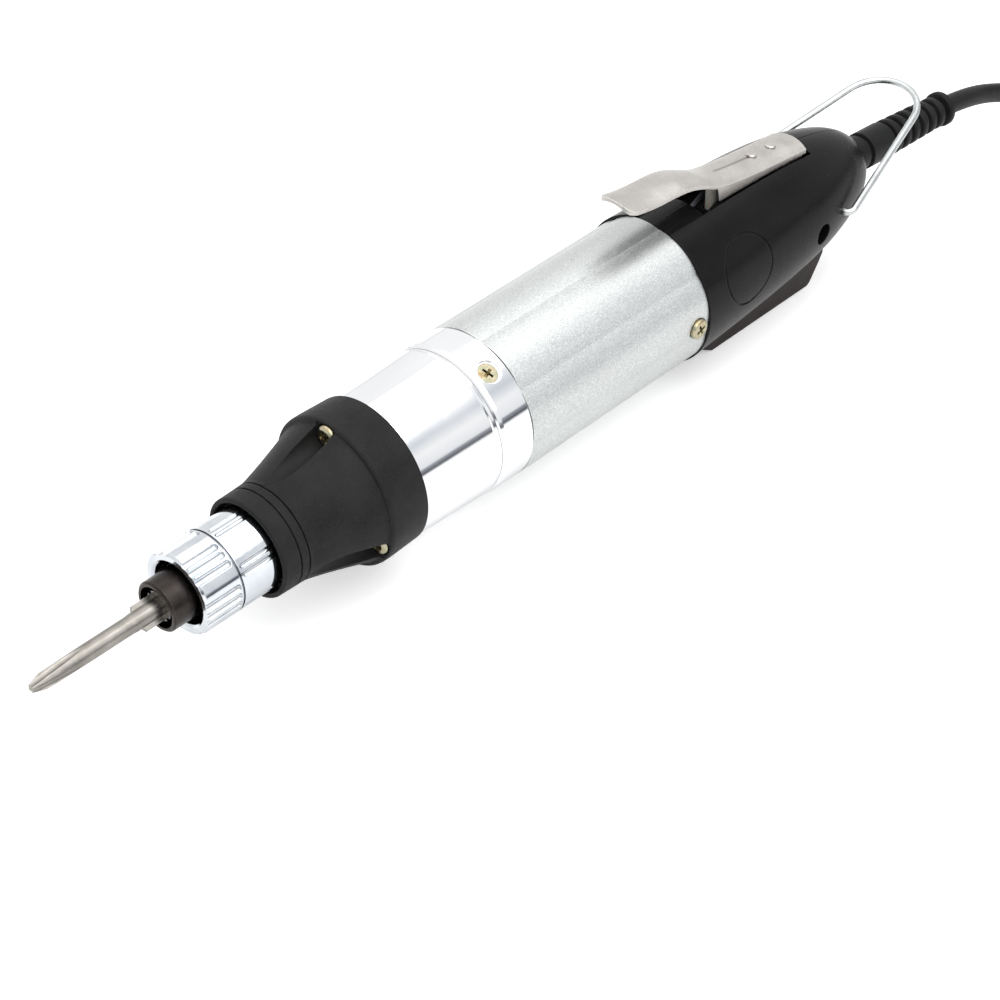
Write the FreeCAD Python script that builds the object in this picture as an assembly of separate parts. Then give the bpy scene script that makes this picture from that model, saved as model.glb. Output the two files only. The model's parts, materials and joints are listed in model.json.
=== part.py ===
import FreeCAD, Part
import math
import os

# Corded electric torque screwdriver.
# Millimetres. While modelling, x runs along the tool's axis from the barrel's front edge towards the
# cord, z points up through the start lever and y lies across. Angles round the axis start at the top
# and grow towards -y. The finished pieces are set down on the ground at the end of the script.

V = FreeCAD.Vector
X_AXIS = V(1, 0, 0)
Y_AXIS = V(0, 1, 0)
ORIGIN = V(0, 0, 0)

# ---------------------------------------------------------------- named clearances
RUN_FIT = 0.05          # radial clearance of a shaft that turns or slides in its bore
SEAT_FIT = 0.05         # between two fixed pieces that fit into each other
PIN_FIT = 0.02          # around a pin, bush or rivet that is pressed in
MOVE_GAP = 0.30         # between a moving piece and what it passes
END_PLAY = 0.30         # axial play beside a wheel, washer or collar

# ---------------------------------------------------------------- barrel
BARREL_LEN = 57.0
BARREL_CREST_R = 18.0
BARREL_VALLEY_R = 17.5
BARREL_BORE_R = 15.4
BARREL_LOBES = 8
LOBE_ANGLE = 30.0       # a lobe's crest points this way
BARREL_SCREW_INSET = 3.6     # from the barrel's rear end
BARREL_SCREW_X = BARREL_LEN - BARREL_SCREW_INSET
BARREL_SCREW_HEAD_R = 2.45
BARREL_SCREW_HEAD_H = 1.5
BARREL_SCREW_SEAT_R = 17.3
BARREL_SCREW_R = 1.25
BARREL_SCREW_LEN = 5.5

# ---------------------------------------------------------------- polished front tube and ring
RING_LEN = 9.0
RING_R = 17.8
RING_SCREW_X = -4.25
RING_SCREW_ANGLES = (30.0, 150.0, 270.0)
RING_SCREW_HEAD_R = 2.3
RING_SCREW_RECESS_R = 2.8
RING_SCREW_R = 1.25
RING_SCREW_SINK = 0.7
TUBE_FRONT_X = -30.9
TUBE_FRONT_R = 16.8
TUBE_REAR_R = 17.5
TUBE_BORE_R = 14.4
TUBE_FLANGE_T = 4.9
TUBE_FLANGE_BORE_R = 11.0
TUBE_SPIGOT_LEN = 8.0

# ---------------------------------------------------------------- nose cone
NOSE_FRONT_X = -65.0
NOSE_LIP_R = 11.4
NOSE_FLANGE_X = -41.3
NOSE_STEP_R = 16.1
NOSE_FLANGE_R = 17.4
NOSE_FLANGE_REAR_R = 17.1
NOSE_MOUTH_R = 10.3
NOSE_MOUTH_DEPTH = 3.0
NOSE_GROOVES = (-61.1, -58.9)
NOSE_GROOVE_W = 0.45
NOSE_GROOVE_DEPTH = 0.35
NOSE_SCREW_ANGLES = (-5.0, 115.0, 235.0)
NOSE_SCREW_PCR = 14.2
NOSE_SCREW_HEAD_X = -39.4
NOSE_SCREW_HEAD_R = 2.5
NOSE_SCREW_HEAD_H = 1.9
NOSE_SCREW_R = 1.25
NOSE_SCREW_LEN = 10.3
NOSE_POCKET_R = 2.75
SPRING_CHAMBER_R = 10.2

# ---------------------------------------------------------------- torque knob
KNOB_FRONT_X = -83.6
KNOB_REAR_X = -52.0
KNOB_R = 9.4
KNOB_BORE_R = 7.16
KNOB_BORE_END_X = -72.0
KNOB_BUSH_LEN = 7.0
KNOB_BUSH_R = 6.3
KNOB_GRIP_END_X = -64.8
KNOB_STEP_X = -74.3
KNOB_SECTORS = 6
KNOB_GROOVE_R = 0.9
KNOB_GROOVE_DEPTH = 0.65
KNOB_REAR_GROOVE_R = 0.6
KNOB_REAR_GROOVE_DEPTH = 0.35
KNOB_STEP_HALF_W = 0.25
KNOB_STEP_DEPTH = 0.35
KNOB_FRONT_GROOVES = (18.0, 31.0, 44.0)
KNOB_REAR_GROOVES = (55.0, 66.0)
KNOB_EDGE = 0.5

# ---------------------------------------------------------------- spindle, bit and quick-release collar
BIT_TIP_X = -120.0
BIT_REAR_X = -68.0
BIT_R = 2.0
BIT_FRONT_R = 1.9        # plain front, a little thinner than the shank in the socket
BIT_FRONT_X = -107.0
BIT_FRONT_END_X = -96.0
BIT_STEP_LEN = 1.0       # taper from the front up to the shank
BIT_POINT_LEN = 3.0
BIT_POINT_R = 0.9
BIT_WING_R = 2.9
BIT_WING_T = 1.1
BIT_WING_FRONT_X = -95.0
BIT_WING_REAR_X = -86.6
BIT_WING_ANGLE = -50.0
BIT_GROOVE_R = 1.7
BIT_GROOVE_W = 2.2
SPINDLE_FRONT_X = -88.3
SPINDLE_NOSE_R = 3.4
SPINDLE_NOSE_END_X = -86.2
SPINDLE_R = 4.0
SPINDLE_BODY_R = 4.85
SPINDLE_SHOULDER_X = -74.5
SPINDLE_PILOT_R = 3.0
SPINDLE_PILOT_END_X = -17.5
LOCK_BALL_X = -83.3
LOCK_BALL_R = 1.0
LOCK_BALL_PCR = 2.85
COLLAR_FRONT_X = -89.0
COLLAR_REAR_X = -76.0
COLLAR_R = 5.65
COLLAR_RECESS_R = 4.7
COLLAR_TRAVEL = 2.5
COLLAR_RELEASE = 0.9     # how far the recess passes the balls when the collar is pushed back
COLLAR_LAND_X = LOCK_BALL_X + COLLAR_RELEASE - COLLAR_TRAVEL
COLLAR_LAND_LEN = 4.0
COLLAR_RELIEF_R = 5.0
CLIP_R = 4.5
CLIP_T = 0.6
COLLAR_SPRING_WIRE_R = 0.28

# ---------------------------------------------------------------- torque spring and clutch
SPRING_SEAT_T = 2.0
TORQUE_SPRING_R = 7.9
TORQUE_SPRING_WIRE_R = 0.85
TORQUE_SPRING_TURNS = 4.5
CLUTCH_R = 10.1
CLUTCH_FRONT_X = -26.2
CLUTCH_T = 4.2
CLUTCH_BALLS = 3
CLUTCH_BALL_R = 1.5
CLUTCH_BALL_PCR = 7.8
CLUTCH_FACE_GAP = 1.8
DRIVER_T = 3.8

# ---------------------------------------------------------------- two-stage planetary gearing
MODULE = 0.5
PRESSURE_ANGLE = 25.0
SUN_TEETH = 12
PLANET_TEETH = 18
PLANETS = 3
ADDENDUM = 0.86         # in modules
DEDENDUM = 1.15         # in modules
TOOTH_THINNING = 0.06
RING_GEAR_R = 14.3
PLANET_PIN_R = 1.0
PLANET_LEN = 5.4
CARRIER_T = 2.0
CARRIER_R = 10.2
GEAR_PLATE_T = 3.0
GEAR_PLATE_HOLE_R = 4.2

# ---------------------------------------------------------------- motor
MOTOR_R = 13.85
MOTOR_LEN = 39.6
MOTOR_WALL = 1.1
MOTOR_BOSS_R = 4.0
MOTOR_BOSS_LEN = 2.0
MOTOR_CAP_T = 3.6
MAGNET_T = 1.6
MAGNET_LEN = 26.0
MAGNET_SPAN = 130.0
SHAFT_R = 1.15
CORE_R = 10.4
CORE_LEN = 20.0
CORE_SLOTS = 5
CORE_SLOT_W = 1.6
CORE_HUB_R = 5.0
COMMUTATOR_R = 3.6
COMMUTATOR_LEN = 6.0
BRUSH_W = 2.4
MOTOR_BUSH_R = 2.6
MOTOR_BUSH_LEN = 2.6

# ---------------------------------------------------------------- handle shell
SHELL_WALL = 2.2
SHELL_TILT = 1.26       # degrees by which the shell's axis rises towards the cord
SHELL_PROFILE = (
    (57.0, 18.35),
    (72.0, 17.75),
    (88.0, 16.95),
    (100.0, 15.95),
    (109.0, 14.65),
    (116.4, 12.9),
    (122.1, 10.95),
    (127.0, 8.3),
    (130.4, 4.7),
)
SHELL_TAIL_X = 131.6
PARTING_HALF_W = 0.12    # small groove where the halves of the handle meet
CIRCLE_X = 72.3          # round outline pressed into the handle's near side
CIRCLE_ANGLE = 70.7
CIRCLE_R = 8.1
CIRCLE_LINE_W = 0.5
CIRCLE_DEPTH = 0.25
SHELL_SPIGOT_LEN = 9.0
SHELL_SPIGOT_WALL = 2.3
SHELL_SCREW_X = 101.0
SHELL_SCREW_Z = 0.5
SHELL_SCREW_R = 1.2
SHELL_SCREW_HEAD_R = 2.3
SHELL_SCREW_HEAD_H = 1.6
SHELL_SCREW_SEAT_Y = -9.2
SHELL_SCREW_LEN = 16.0
SHELL_BOSS_R = 3.3
INNER_WALL = 1.5

# ---------------------------------------------------------------- start lever
LEVER_HALF_W = 5.0
LEVER_SHEET = 0.9
LEVER_CROWN = 1.2
LEVER_FRONT_X = 44.0
LEVER_REAR_X = 107.0
LEVER_SKIRT_X = 74.6
LEVER_SKIRT_Z = 17.4
LEVER_SKIRT_REAR_Z = 15.4
LEVER_TOP = (
    (44.0, 30.3),
    (48.0, 29.3),
    (54.0, 28.3),
    (60.0, 27.8),
    (64.0, 27.2),
    (68.0, 25.9),
    (72.0, 24.0),
    (76.0, 22.2),
    (80.0, 21.2),
    (88.0, 19.9),
    (97.0, 18.8),
    (107.0, 17.7),
)
LEVER_BACK_BOW = 0.8
LEVER_PIVOT_X = 101.0
LEVER_PIVOT_Z = 14.0
LEVER_PIN_R = 1.0
LEVER_EAR_R = 3.2
LEVER_EAR_BOTTOM_Z = 12.9
RIVET_X = (92.0, 99.0)
RIVET_HEAD_R = 1.3
RIVET_HEAD_H = 0.5
RIVET_R = 0.8
LEAF_T = 0.4
LEAF_HALF_W = 3.0
LEAF_GAP = 0.3          # between the leaf and the crowned sheet above it
LEAF_REAR_X = 103.5
LEAF_BEND_X = 90.0
SLOT_FLOOR_Z = 12.2
SLOT_FRONT_X = 69.3
SLOT_APRON_DEPTH = 0.8   # shallow channel from the slot's front to the barrel
SLOT_SIDE_GAP = 0.6
PUSHER_X = 78.0
PUSHER_R = 1.3
PUSHER_TRAVEL = 2.0

# ---------------------------------------------------------------- start switch
START_SWITCH_LEN = 19.8
START_SWITCH_W = 6.4
START_SWITCH_H = 10.2
START_SWITCH_X = 70.0

# ---------------------------------------------------------------- forward and reverse rocker
ROCKER_HALF_W = 8.0
ROCKER_PIVOT_X = 88.0
ROCKER_PIVOT_Z = -11.2
ROCKER_BOTTOM_Z = -21.6
ROCKER_PROFILE = (
    (62.9, -12.8),
    (62.9, -15.6),
    (66.5, -18.1),
    (72.6, ROCKER_BOTTOM_Z),
    (106.6, ROCKER_BOTTOM_Z),
    (108.2, -20.4),
    (111.2, -16.0),
    (112.4, -13.8),
    (112.4, -11.2),
)
ROCKER_WALL = 1.6
ROCKER_PIN_R = 1.0
ROCKER_PIN_IN = 2.6
ROCKER_BOSS_R = 2.2
WELL_CEILING_Z = -8.6
WELL_SIDE_GAP = 0.7
WELL_END_GAP = 1.1
SELECTOR_LEN = 13.0
SELECTOR_W = 7.0
SELECTOR_H = 4.8
SELECTOR_POST = 2.0
SELECTOR_POST_W = 2.4
SELECTOR_POST_REACH = 1.9
SELECTOR_TRAVEL = 0.6

# ---------------------------------------------------------------- hanging bail
BAIL_PIVOT_X = 110.0
BAIL_PIVOT_Z = 2.0
BAIL_WIRE_R = 0.85
BAIL_ANGLE = 15.0
BAIL_FOOT_Y = 16.6
BAIL_FOOT_BEND = 1.6
BAIL_END_Y = 12.1
BAIL_BOW_R = 9.8
BAIL_BOW_T = 31.5

# ---------------------------------------------------------------- strain relief, cord, hank and plug
BOOT_X = 129.0
BOOT_Z = 0.8
BOOT_DROOP = 5.0
BOOT_NECK_R = 3.6
BOOT_FLANGE_R = 5.2
BOOT_R = 4.6
BOOT_LAST_R = 3.9
BOOT_TIP_R = 4.4
BOOT_LEN = 40.6
BOOT_RIB_START = 15.0
BOOT_RIBS = 7
BOOT_RIB_DEPTH = 1.15
CORD_R = 2.5
CORD_SOCKET = 3.5
TIE_T = 0.6
TIE_W = 6.0
CORD_LIE_Z = ROCKER_BOTTOM_Z + TIE_T + CORD_R + 0.1
CORD_ROUTE = (
    (180.0, 0.0, -3.662),
    (201.0, 0.0, -11.9),
    (216.0, -5.4, CORD_LIE_Z),
    (233.0, -16.0, CORD_LIE_Z),
)
HANK_X = 263.5
HANK_RUN = 60.0
HANK_R = 16.0
HANK_TURNS = 5
HANK_PITCH = 5.1
HANK_LEAD = 13.2
HANK_TOP_Z = CORD_LIE_Z + HANK_TURNS * HANK_PITCH
PLUG_BODY_R = 7.4
PLUG_X = 403.2
PLUG_Z = ROCKER_BOTTOM_Z + PLUG_BODY_R + 0.1
TAIL_ROUTE = (
    (355.4, -16.0, HANK_TOP_Z),
    (384.5, -12.0, PLUG_Z),
)
PLUG_Y = -12.0
PLUG_BODY_LEN = 22.0
PLUG_TAIL_R = 4.2
PLUG_TAIL_LEN = 9.0
PLUG_SHELL_R = 6.6
PLUG_SHELL_WALL = 0.6
PLUG_SHELL_LEN = 10.5
PLUG_PINS = 5
PLUG_PIN_R = 0.72
PLUG_PIN_PCR = 3.5
PLUG_PIN_LEN = 8.5


# ================================================================ shapes
def turned(profile):
    """Solid of revolution about the tool's axis from a closed outline of (x, radius) corners."""
    corners = [V(x, 0, r) for x, r in profile]
    face = Part.Face(Part.makePolygon(corners + [corners[0]]))
    return face.revolve(ORIGIN, X_AXIS, 360)


def ring(x_start, x_end, r_out, r_in=0.0):
    """Plain disc, or ring when it has a bore."""
    body = Part.makeCylinder(r_out, x_end - x_start, V(x_start, 0, 0), X_AXIS)
    if r_in <= 0.0:
        return body
    return body.cut(Part.makeCylinder(r_in, x_end - x_start + 2, V(x_start - 1, 0, 0), X_AXIS))


def spun(shape, angle):
    """The shape turned about the tool's axis."""
    turned_shape = shape.copy()
    turned_shape.rotate(ORIGIN, X_AXIS, angle)
    return turned_shape


def block(x0, x1, y0, y1, z0, z1):
    return Part.makeBox(x1 - x0, y1 - y0, z1 - z0, V(x0, y0, z0))


def cross_rod(x, z, radius, y0, y1):
    """Round rod that lies across the tool."""
    return Part.makeCylinder(radius, y1 - y0, V(x, y0, z), Y_AXIS)


def side_prism(profile, half_width):
    """Prism across the tool from a closed outline of (x, z) corners."""
    corners = [V(x, -half_width, z) for x, z in profile]
    face = Part.Face(Part.makePolygon(corners + [corners[0]]))
    return face.extrude(V(0, 2 * half_width, 0))


def smooth_edge(points):
    curve = Part.BSplineCurve()
    curve.interpolate([V(*p) for p in points])
    return curve.toShape()


def joined(shapes):
    return shapes[0].multiFuse(shapes[1:]).removeSplitter()


def helix_spring(x_start, x_end, mean_r, wire_r, turns):
    """Compression spring; x_start and x_end are its outer ends. Its wire has eight flats."""
    height = x_end - x_start - 2 * wire_r
    path = Part.makeHelix(height / turns, height, mean_r)
    corners = []
    for k in range(8):
        a = math.radians(22.5 + 45 * k)
        corners.append(V(mean_r + wire_r * math.cos(a), 0, wire_r * math.sin(a)))
    section = Part.makePolygon(corners + [corners[0]])
    coil = Part.Wire(path.Edges).makePipeShell([section], True, True)
    coil.rotate(ORIGIN, Y_AXIS, 90)
    coil.translate(V(x_start + wire_r, 0, 0))
    return coil


# ================================================================ barrel, front tube and nose
def barrel():
    """Extruded sleeve whose outside is a ring of shallow convex lobes."""
    step = 360.0 / BARREL_LOBES
    arcs = []
    for lobe in range(BARREL_LOBES):
        crest = LOBE_ANGLE + lobe * step
        a = polar(BARREL_VALLEY_R, crest - step / 2)
        b = polar(BARREL_CREST_R, crest)
        c = polar(BARREL_VALLEY_R, crest + step / 2)
        arcs.append(Part.Arc(a, b, c).toShape())
    body = Part.Face(Part.Wire(arcs)).extrude(V(BARREL_LEN, 0, 0))
    body = body.cut(ring(-1, BARREL_LEN + 1, BARREL_BORE_R))
    for angle in (90, -90):
        seat = Part.makeCylinder(BARREL_SCREW_HEAD_R + 0.2, 5, V(BARREL_SCREW_X, 0, BARREL_SCREW_SEAT_R))
        hole = Part.makeCylinder(BARREL_SCREW_R + SEAT_FIT, 8, V(BARREL_SCREW_X, 0, BARREL_BORE_R - 2))
        body = body.cut(spun(seat.fuse(hole), angle))
    return body


def polar(radius, angle):
    """Point in the plane across the axis."""
    a = math.radians(angle)
    return V(0, -radius * math.sin(a), radius * math.cos(a))


def barrel_screws():
    screws = []
    for angle in (90, -90):
        head = Part.makeCylinder(BARREL_SCREW_HEAD_R, BARREL_SCREW_HEAD_H, V(0, 0, BARREL_SCREW_SEAT_R))
        head = head.makeFillet(0.8, [head.Edges[0]])
        shank = Part.makeCylinder(BARREL_SCREW_R, BARREL_SCREW_LEN, V(0, 0, BARREL_SCREW_SEAT_R), V(0, 0, -1))
        screw = joined([head, shank])
        screw.translate(V(BARREL_SCREW_X, 0, 0))
        screws.append(spun(screw, angle))
    return Part.makeCompound(screws)


def ring_screw_tool(head_r, shank_r):
    """Countersunk screw shape at the top of the clamp ring, and the cutter for its seat."""
    top = RING_R - RING_SCREW_SINK
    cone_h = head_r - shank_r
    cone = Part.makeCone(shank_r, head_r, cone_h, V(RING_SCREW_X, 0, top - cone_h))
    shank = Part.makeCylinder(shank_r, top - cone_h - TUBE_BORE_R, V(RING_SCREW_X, 0, TUBE_BORE_R))
    return joined([cone, shank])


def clamp_ring():
    """Polished ring that covers the joint between the front tube and the barrel."""
    inner_r = BARREL_BORE_R + SEAT_FIT
    body = turned([
        (-RING_LEN, inner_r), (-RING_LEN, RING_R - 0.55), (-RING_LEN + 0.35, RING_R - 0.15),
        (-RING_LEN + 1.3, RING_R), (-0.25, RING_R), (-0.05, RING_R - 0.2), (-0.05, inner_r),
    ])
    for angle in RING_SCREW_ANGLES:
        recess = Part.makeCylinder(RING_SCREW_RECESS_R, 3, V(RING_SCREW_X, 0, RING_R - RING_SCREW_SINK))
        seat = ring_screw_tool(RING_SCREW_HEAD_R + SEAT_FIT, RING_SCREW_R + SEAT_FIT)
        body = body.cut(spun(recess.fuse(seat), angle))
    return body


def ring_screws():
    screw = ring_screw_tool(RING_SCREW_HEAD_R, RING_SCREW_R)
    return Part.makeCompound([spun(screw, angle) for angle in RING_SCREW_ANGLES])


def front_tube():
    """Polished tube with an inner flange for the nose screws and a spigot into the barrel."""
    flange_x = TUBE_FRONT_X + TUBE_FLANGE_T
    spigot_r = BARREL_BORE_R - SEAT_FIT
    body = turned([
        (TUBE_FRONT_X, TUBE_FLANGE_BORE_R), (TUBE_FRONT_X, TUBE_FRONT_R), (-20.0, TUBE_FRONT_R + 0.35),
        (-RING_LEN - 1.6, TUBE_REAR_R), (-RING_LEN - 0.9, TUBE_REAR_R - 0.25),
        (-RING_LEN - SEAT_FIT, TUBE_REAR_R - 0.3),
        (-RING_LEN - SEAT_FIT, spigot_r), (TUBE_SPIGOT_LEN, spigot_r), (TUBE_SPIGOT_LEN, TUBE_BORE_R),
        (flange_x, TUBE_BORE_R), (flange_x, TUBE_FLANGE_BORE_R),
    ])
    for angle in RING_SCREW_ANGLES:
        hole = Part.makeCylinder(RING_SCREW_R + SEAT_FIT, 4, V(RING_SCREW_X, 0, TUBE_BORE_R - 1))
        body = body.cut(spun(hole, angle))
    for angle in NOSE_SCREW_ANGLES:
        body = body.cut(spun(nose_screw_hole(TUBE_FLANGE_T + 1), angle))
    return body


def nose_screw_hole(depth):
    """Screw hole through the joint face between the nose and the front tube."""
    start = V(NOSE_SCREW_HEAD_X, 0, NOSE_SCREW_PCR)
    length = TUBE_FRONT_X - NOSE_SCREW_HEAD_X + depth
    return Part.makeCylinder(NOSE_SCREW_R + SEAT_FIT, length, start, X_AXIS)


def nose_cone():
    """Moulded nose: a flared cone with a grooved lip, a flange and three scooped screw pockets."""
    flare = smooth_edge([
        (-57.6, 0, 11.6), (-52.2, 0, 12.95), (-47.5, 0, 14.3), (NOSE_FLANGE_X - 0.4, 0, NOSE_STEP_R),
    ])
    thread_r = KNOB_R + RUN_FIT
    mouth_x = NOSE_FRONT_X + NOSE_MOUTH_DEPTH
    chamber_x = KNOB_REAR_X + 1.0
    corners = [
        V(NOSE_FLANGE_X - 0.4, 0, NOSE_STEP_R), V(NOSE_FLANGE_X, 0, NOSE_STEP_R + 0.2),
        V(NOSE_FLANGE_X + 0.15, 0, NOSE_FLANGE_R - 0.5), V(NOSE_FLANGE_X + 0.6, 0, NOSE_FLANGE_R - 0.1),
        V(NOSE_FLANGE_X + 1.2, 0, NOSE_FLANGE_R), V(-38.2, 0, NOSE_FLANGE_R),
        V(TUBE_FRONT_X, 0, NOSE_FLANGE_REAR_R),
        V(TUBE_FRONT_X, 0, SPRING_CHAMBER_R), V(chamber_x, 0, SPRING_CHAMBER_R), V(chamber_x, 0, thread_r),
        V(mouth_x, 0, thread_r), V(mouth_x, 0, NOSE_MOUTH_R), V(NOSE_FRONT_X, 0, NOSE_MOUTH_R),
    ]
    edges = [Part.makeLine(a, b) for a, b in zip(corners, corners[1:])]
    lip_end = V(NOSE_FRONT_X + 0.5, 0, NOSE_LIP_R)
    edges.append(Part.Arc(corners[-1], V(NOSE_FRONT_X - 0.25, 0, NOSE_LIP_R - 0.5), lip_end).toShape())
    edges.append(Part.makeLine(lip_end, V(-57.6, 0, 11.6)))
    edges.append(flare)
    body = Part.Face(Part.Wire(Part.__sortEdges__(edges))).revolve(ORIGIN, X_AXIS, 360)
    for x in NOSE_GROOVES:
        body = body.cut(ring(x, x + NOSE_GROOVE_W, NOSE_LIP_R + 2, NOSE_LIP_R - NOSE_GROOVE_DEPTH))
    for angle in NOSE_SCREW_ANGLES:
        head_seat = NOSE_SCREW_HEAD_X + NOSE_SCREW_HEAD_H
        scoop = Part.makeCylinder(NOSE_POCKET_R, 24, V(head_seat - 24, 0, NOSE_SCREW_PCR), X_AXIS)
        open_side = block(head_seat - 24, head_seat, -NOSE_POCKET_R, NOSE_POCKET_R, NOSE_SCREW_PCR, 30)
        open_side = open_side.common(ring(head_seat - 24, NOSE_FLANGE_X + 0.4, 30))
        body = body.cut(spun(scoop.fuse(open_side), angle))
        body = body.cut(spun(nose_screw_hole(1), angle))
    return body


def nose_screws():
    screws = []
    for angle in NOSE_SCREW_ANGLES:
        front = V(NOSE_SCREW_HEAD_X, 0, NOSE_SCREW_PCR)
        head = Part.makeCylinder(NOSE_SCREW_HEAD_R, NOSE_SCREW_HEAD_H, front, X_AXIS)
        head = head.makeFillet(0.7, [head.Edges[2]])
        shank_x = NOSE_SCREW_HEAD_X + NOSE_SCREW_HEAD_H
        shank = Part.makeCylinder(NOSE_SCREW_R, NOSE_SCREW_LEN, V(shank_x, 0, NOSE_SCREW_PCR), X_AXIS)
        screws.append(spun(joined([head, shank]), angle))
    return Part.makeCompound(screws)


# ================================================================ torque knob
def torque_knob():
    """Chromed adjusting knob: a grip in two fluted bands in front of a threaded stem."""
    bush_end = KNOB_BORE_END_X + KNOB_BUSH_LEN
    stem_r = KNOB_R - 0.1
    step_x0 = KNOB_STEP_X - KNOB_STEP_HALF_W
    step_x1 = KNOB_STEP_X + KNOB_STEP_HALF_W
    body = turned([
        (KNOB_FRONT_X, KNOB_BORE_R + KNOB_EDGE), (KNOB_FRONT_X, KNOB_R - KNOB_EDGE),
        (KNOB_FRONT_X + KNOB_EDGE, KNOB_R), (step_x0, KNOB_R), (step_x0, KNOB_R - KNOB_STEP_DEPTH),
        (step_x1, KNOB_R - KNOB_STEP_DEPTH), (step_x1, KNOB_R), (KNOB_GRIP_END_X, KNOB_R),
        (KNOB_GRIP_END_X, stem_r), (KNOB_REAR_X, stem_r), (KNOB_REAR_X, KNOB_BUSH_R - 0.6),
        (bush_end, KNOB_BUSH_R - 0.6), (bush_end, KNOB_BUSH_R), (KNOB_BORE_END_X, KNOB_BUSH_R),
        (KNOB_BORE_END_X, KNOB_BORE_R), (KNOB_FRONT_X + KNOB_EDGE, KNOB_BORE_R),
    ])
    front_end = step_x0 - KNOB_GROOVE_R - 0.2
    rear_end = step_x1 + KNOB_REAR_GROOVE_R + 0.4
    cutters = []
    for sector in range(KNOB_SECTORS):
        turn = sector * 360.0 / KNOB_SECTORS
        for angle in KNOB_FRONT_GROOVES:
            groove = knob_groove(KNOB_FRONT_X - 1, front_end, KNOB_GROOVE_R, KNOB_GROOVE_DEPTH)
            cutters.append(spun(groove, angle + turn))
        for angle in KNOB_REAR_GROOVES:
            groove = knob_groove(KNOB_GRIP_END_X + 1, rear_end, KNOB_REAR_GROOVE_R, KNOB_REAR_GROOVE_DEPTH)
            cutters.append(spun(groove, angle + turn))
    return body.cut(Part.makeCompound(cutters))


def knob_groove(x_open, x_closed, radius, depth):
    """Cutter at the top of the knob for a groove that runs out at one end and is round at the other."""
    centre_r = KNOB_R + radius - depth
    along = X_AXIS * (1 if x_closed > x_open else -1)
    rod = Part.makeCylinder(radius, abs(x_closed - x_open), V(x_open, 0, centre_r), along)
    return rod.fuse(Part.makeSphere(radius, V(x_closed, 0, centre_r)))


def knob_bush():
    end = KNOB_BORE_END_X + KNOB_BUSH_LEN
    return ring(KNOB_BORE_END_X, end, KNOB_BUSH_R - SEAT_FIT, SPINDLE_BODY_R + RUN_FIT)


# ================================================================ spindle, bit and collar
def bit():
    """Winged driver bit with a cross point."""
    body = turned([
        (BIT_TIP_X, 0), (BIT_TIP_X, BIT_POINT_R), (BIT_TIP_X + BIT_POINT_LEN, BIT_FRONT_R - 0.12),
        (BIT_FRONT_X, BIT_FRONT_R), (BIT_FRONT_END_X, BIT_FRONT_R), (BIT_FRONT_END_X + BIT_STEP_LEN, BIT_R),
        (LOCK_BALL_X - BIT_GROOVE_W / 2, BIT_R), (LOCK_BALL_X - BIT_GROOVE_W / 2 + 0.3, BIT_GROOVE_R),
        (LOCK_BALL_X + BIT_GROOVE_W / 2 - 0.3, BIT_GROOVE_R), (LOCK_BALL_X + BIT_GROOVE_W / 2, BIT_R),
        (BIT_REAR_X - 0.6, BIT_R), (BIT_REAR_X, BIT_R - 0.6), (BIT_REAR_X, 0),
    ])
    for quarter in range(4):
        flute = Part.makeCylinder(1.0, 20, V(BIT_TIP_X - 2, 0, 1.45), V(15, 0, 1.45))
        body = body.cut(spun(flute, 90 * quarter))
    wing = side_prism([
        (BIT_WING_FRONT_X, 0), (BIT_WING_FRONT_X + 1.6, BIT_WING_R), (BIT_WING_REAR_X, BIT_WING_R),
        (BIT_WING_REAR_X, -BIT_WING_R), (BIT_WING_FRONT_X + 1.6, -BIT_WING_R),
    ], BIT_WING_T / 2)
    return joined([body, spun(wing, BIT_WING_ANGLE)])


def spindle():
    """Output spindle: bit socket in front, plain journal, and a pilot in the clutch driver."""
    groove_x = COLLAR_LAND_X - END_PLAY
    body = turned([
        (SPINDLE_FRONT_X, BIT_R + RUN_FIT), (SPINDLE_FRONT_X, SPINDLE_NOSE_R),
        (SPINDLE_NOSE_END_X, SPINDLE_NOSE_R), (SPINDLE_NOSE_END_X, SPINDLE_R), (groove_x - CLIP_T, SPINDLE_R),
        (groove_x - CLIP_T, SPINDLE_R - 0.3), (groove_x, SPINDLE_R - 0.3), (groove_x, SPINDLE_R),
        (SPINDLE_SHOULDER_X, SPINDLE_R), (SPINDLE_SHOULDER_X, SPINDLE_BODY_R),
        (CLUTCH_FRONT_X, SPINDLE_BODY_R),
        (CLUTCH_FRONT_X, SPINDLE_PILOT_R), (SPINDLE_PILOT_END_X, SPINDLE_PILOT_R), (SPINDLE_PILOT_END_X, 0),
        (BIT_REAR_X + END_PLAY, 0), (BIT_REAR_X + END_PLAY, BIT_R + RUN_FIT),
    ])
    slot_half = BIT_WING_T / 2 + SEAT_FIT
    slot = block(SPINDLE_FRONT_X - 1, BIT_WING_REAR_X + 0.3, -slot_half, slot_half, -10, 10)
    body = body.cut(spun(slot, BIT_WING_ANGLE))
    for side in (40, 220):
        hole = Part.makeCylinder(LOCK_BALL_R + SEAT_FIT, 6, V(LOCK_BALL_X, 0, 0.5))
        body = body.cut(spun(hole, side))
    return body


def lock_balls():
    balls = [spun(Part.makeSphere(LOCK_BALL_R, V(LOCK_BALL_X, 0, LOCK_BALL_PCR)), side) for side in (40, 220)]
    return Part.makeCompound(balls)


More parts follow.
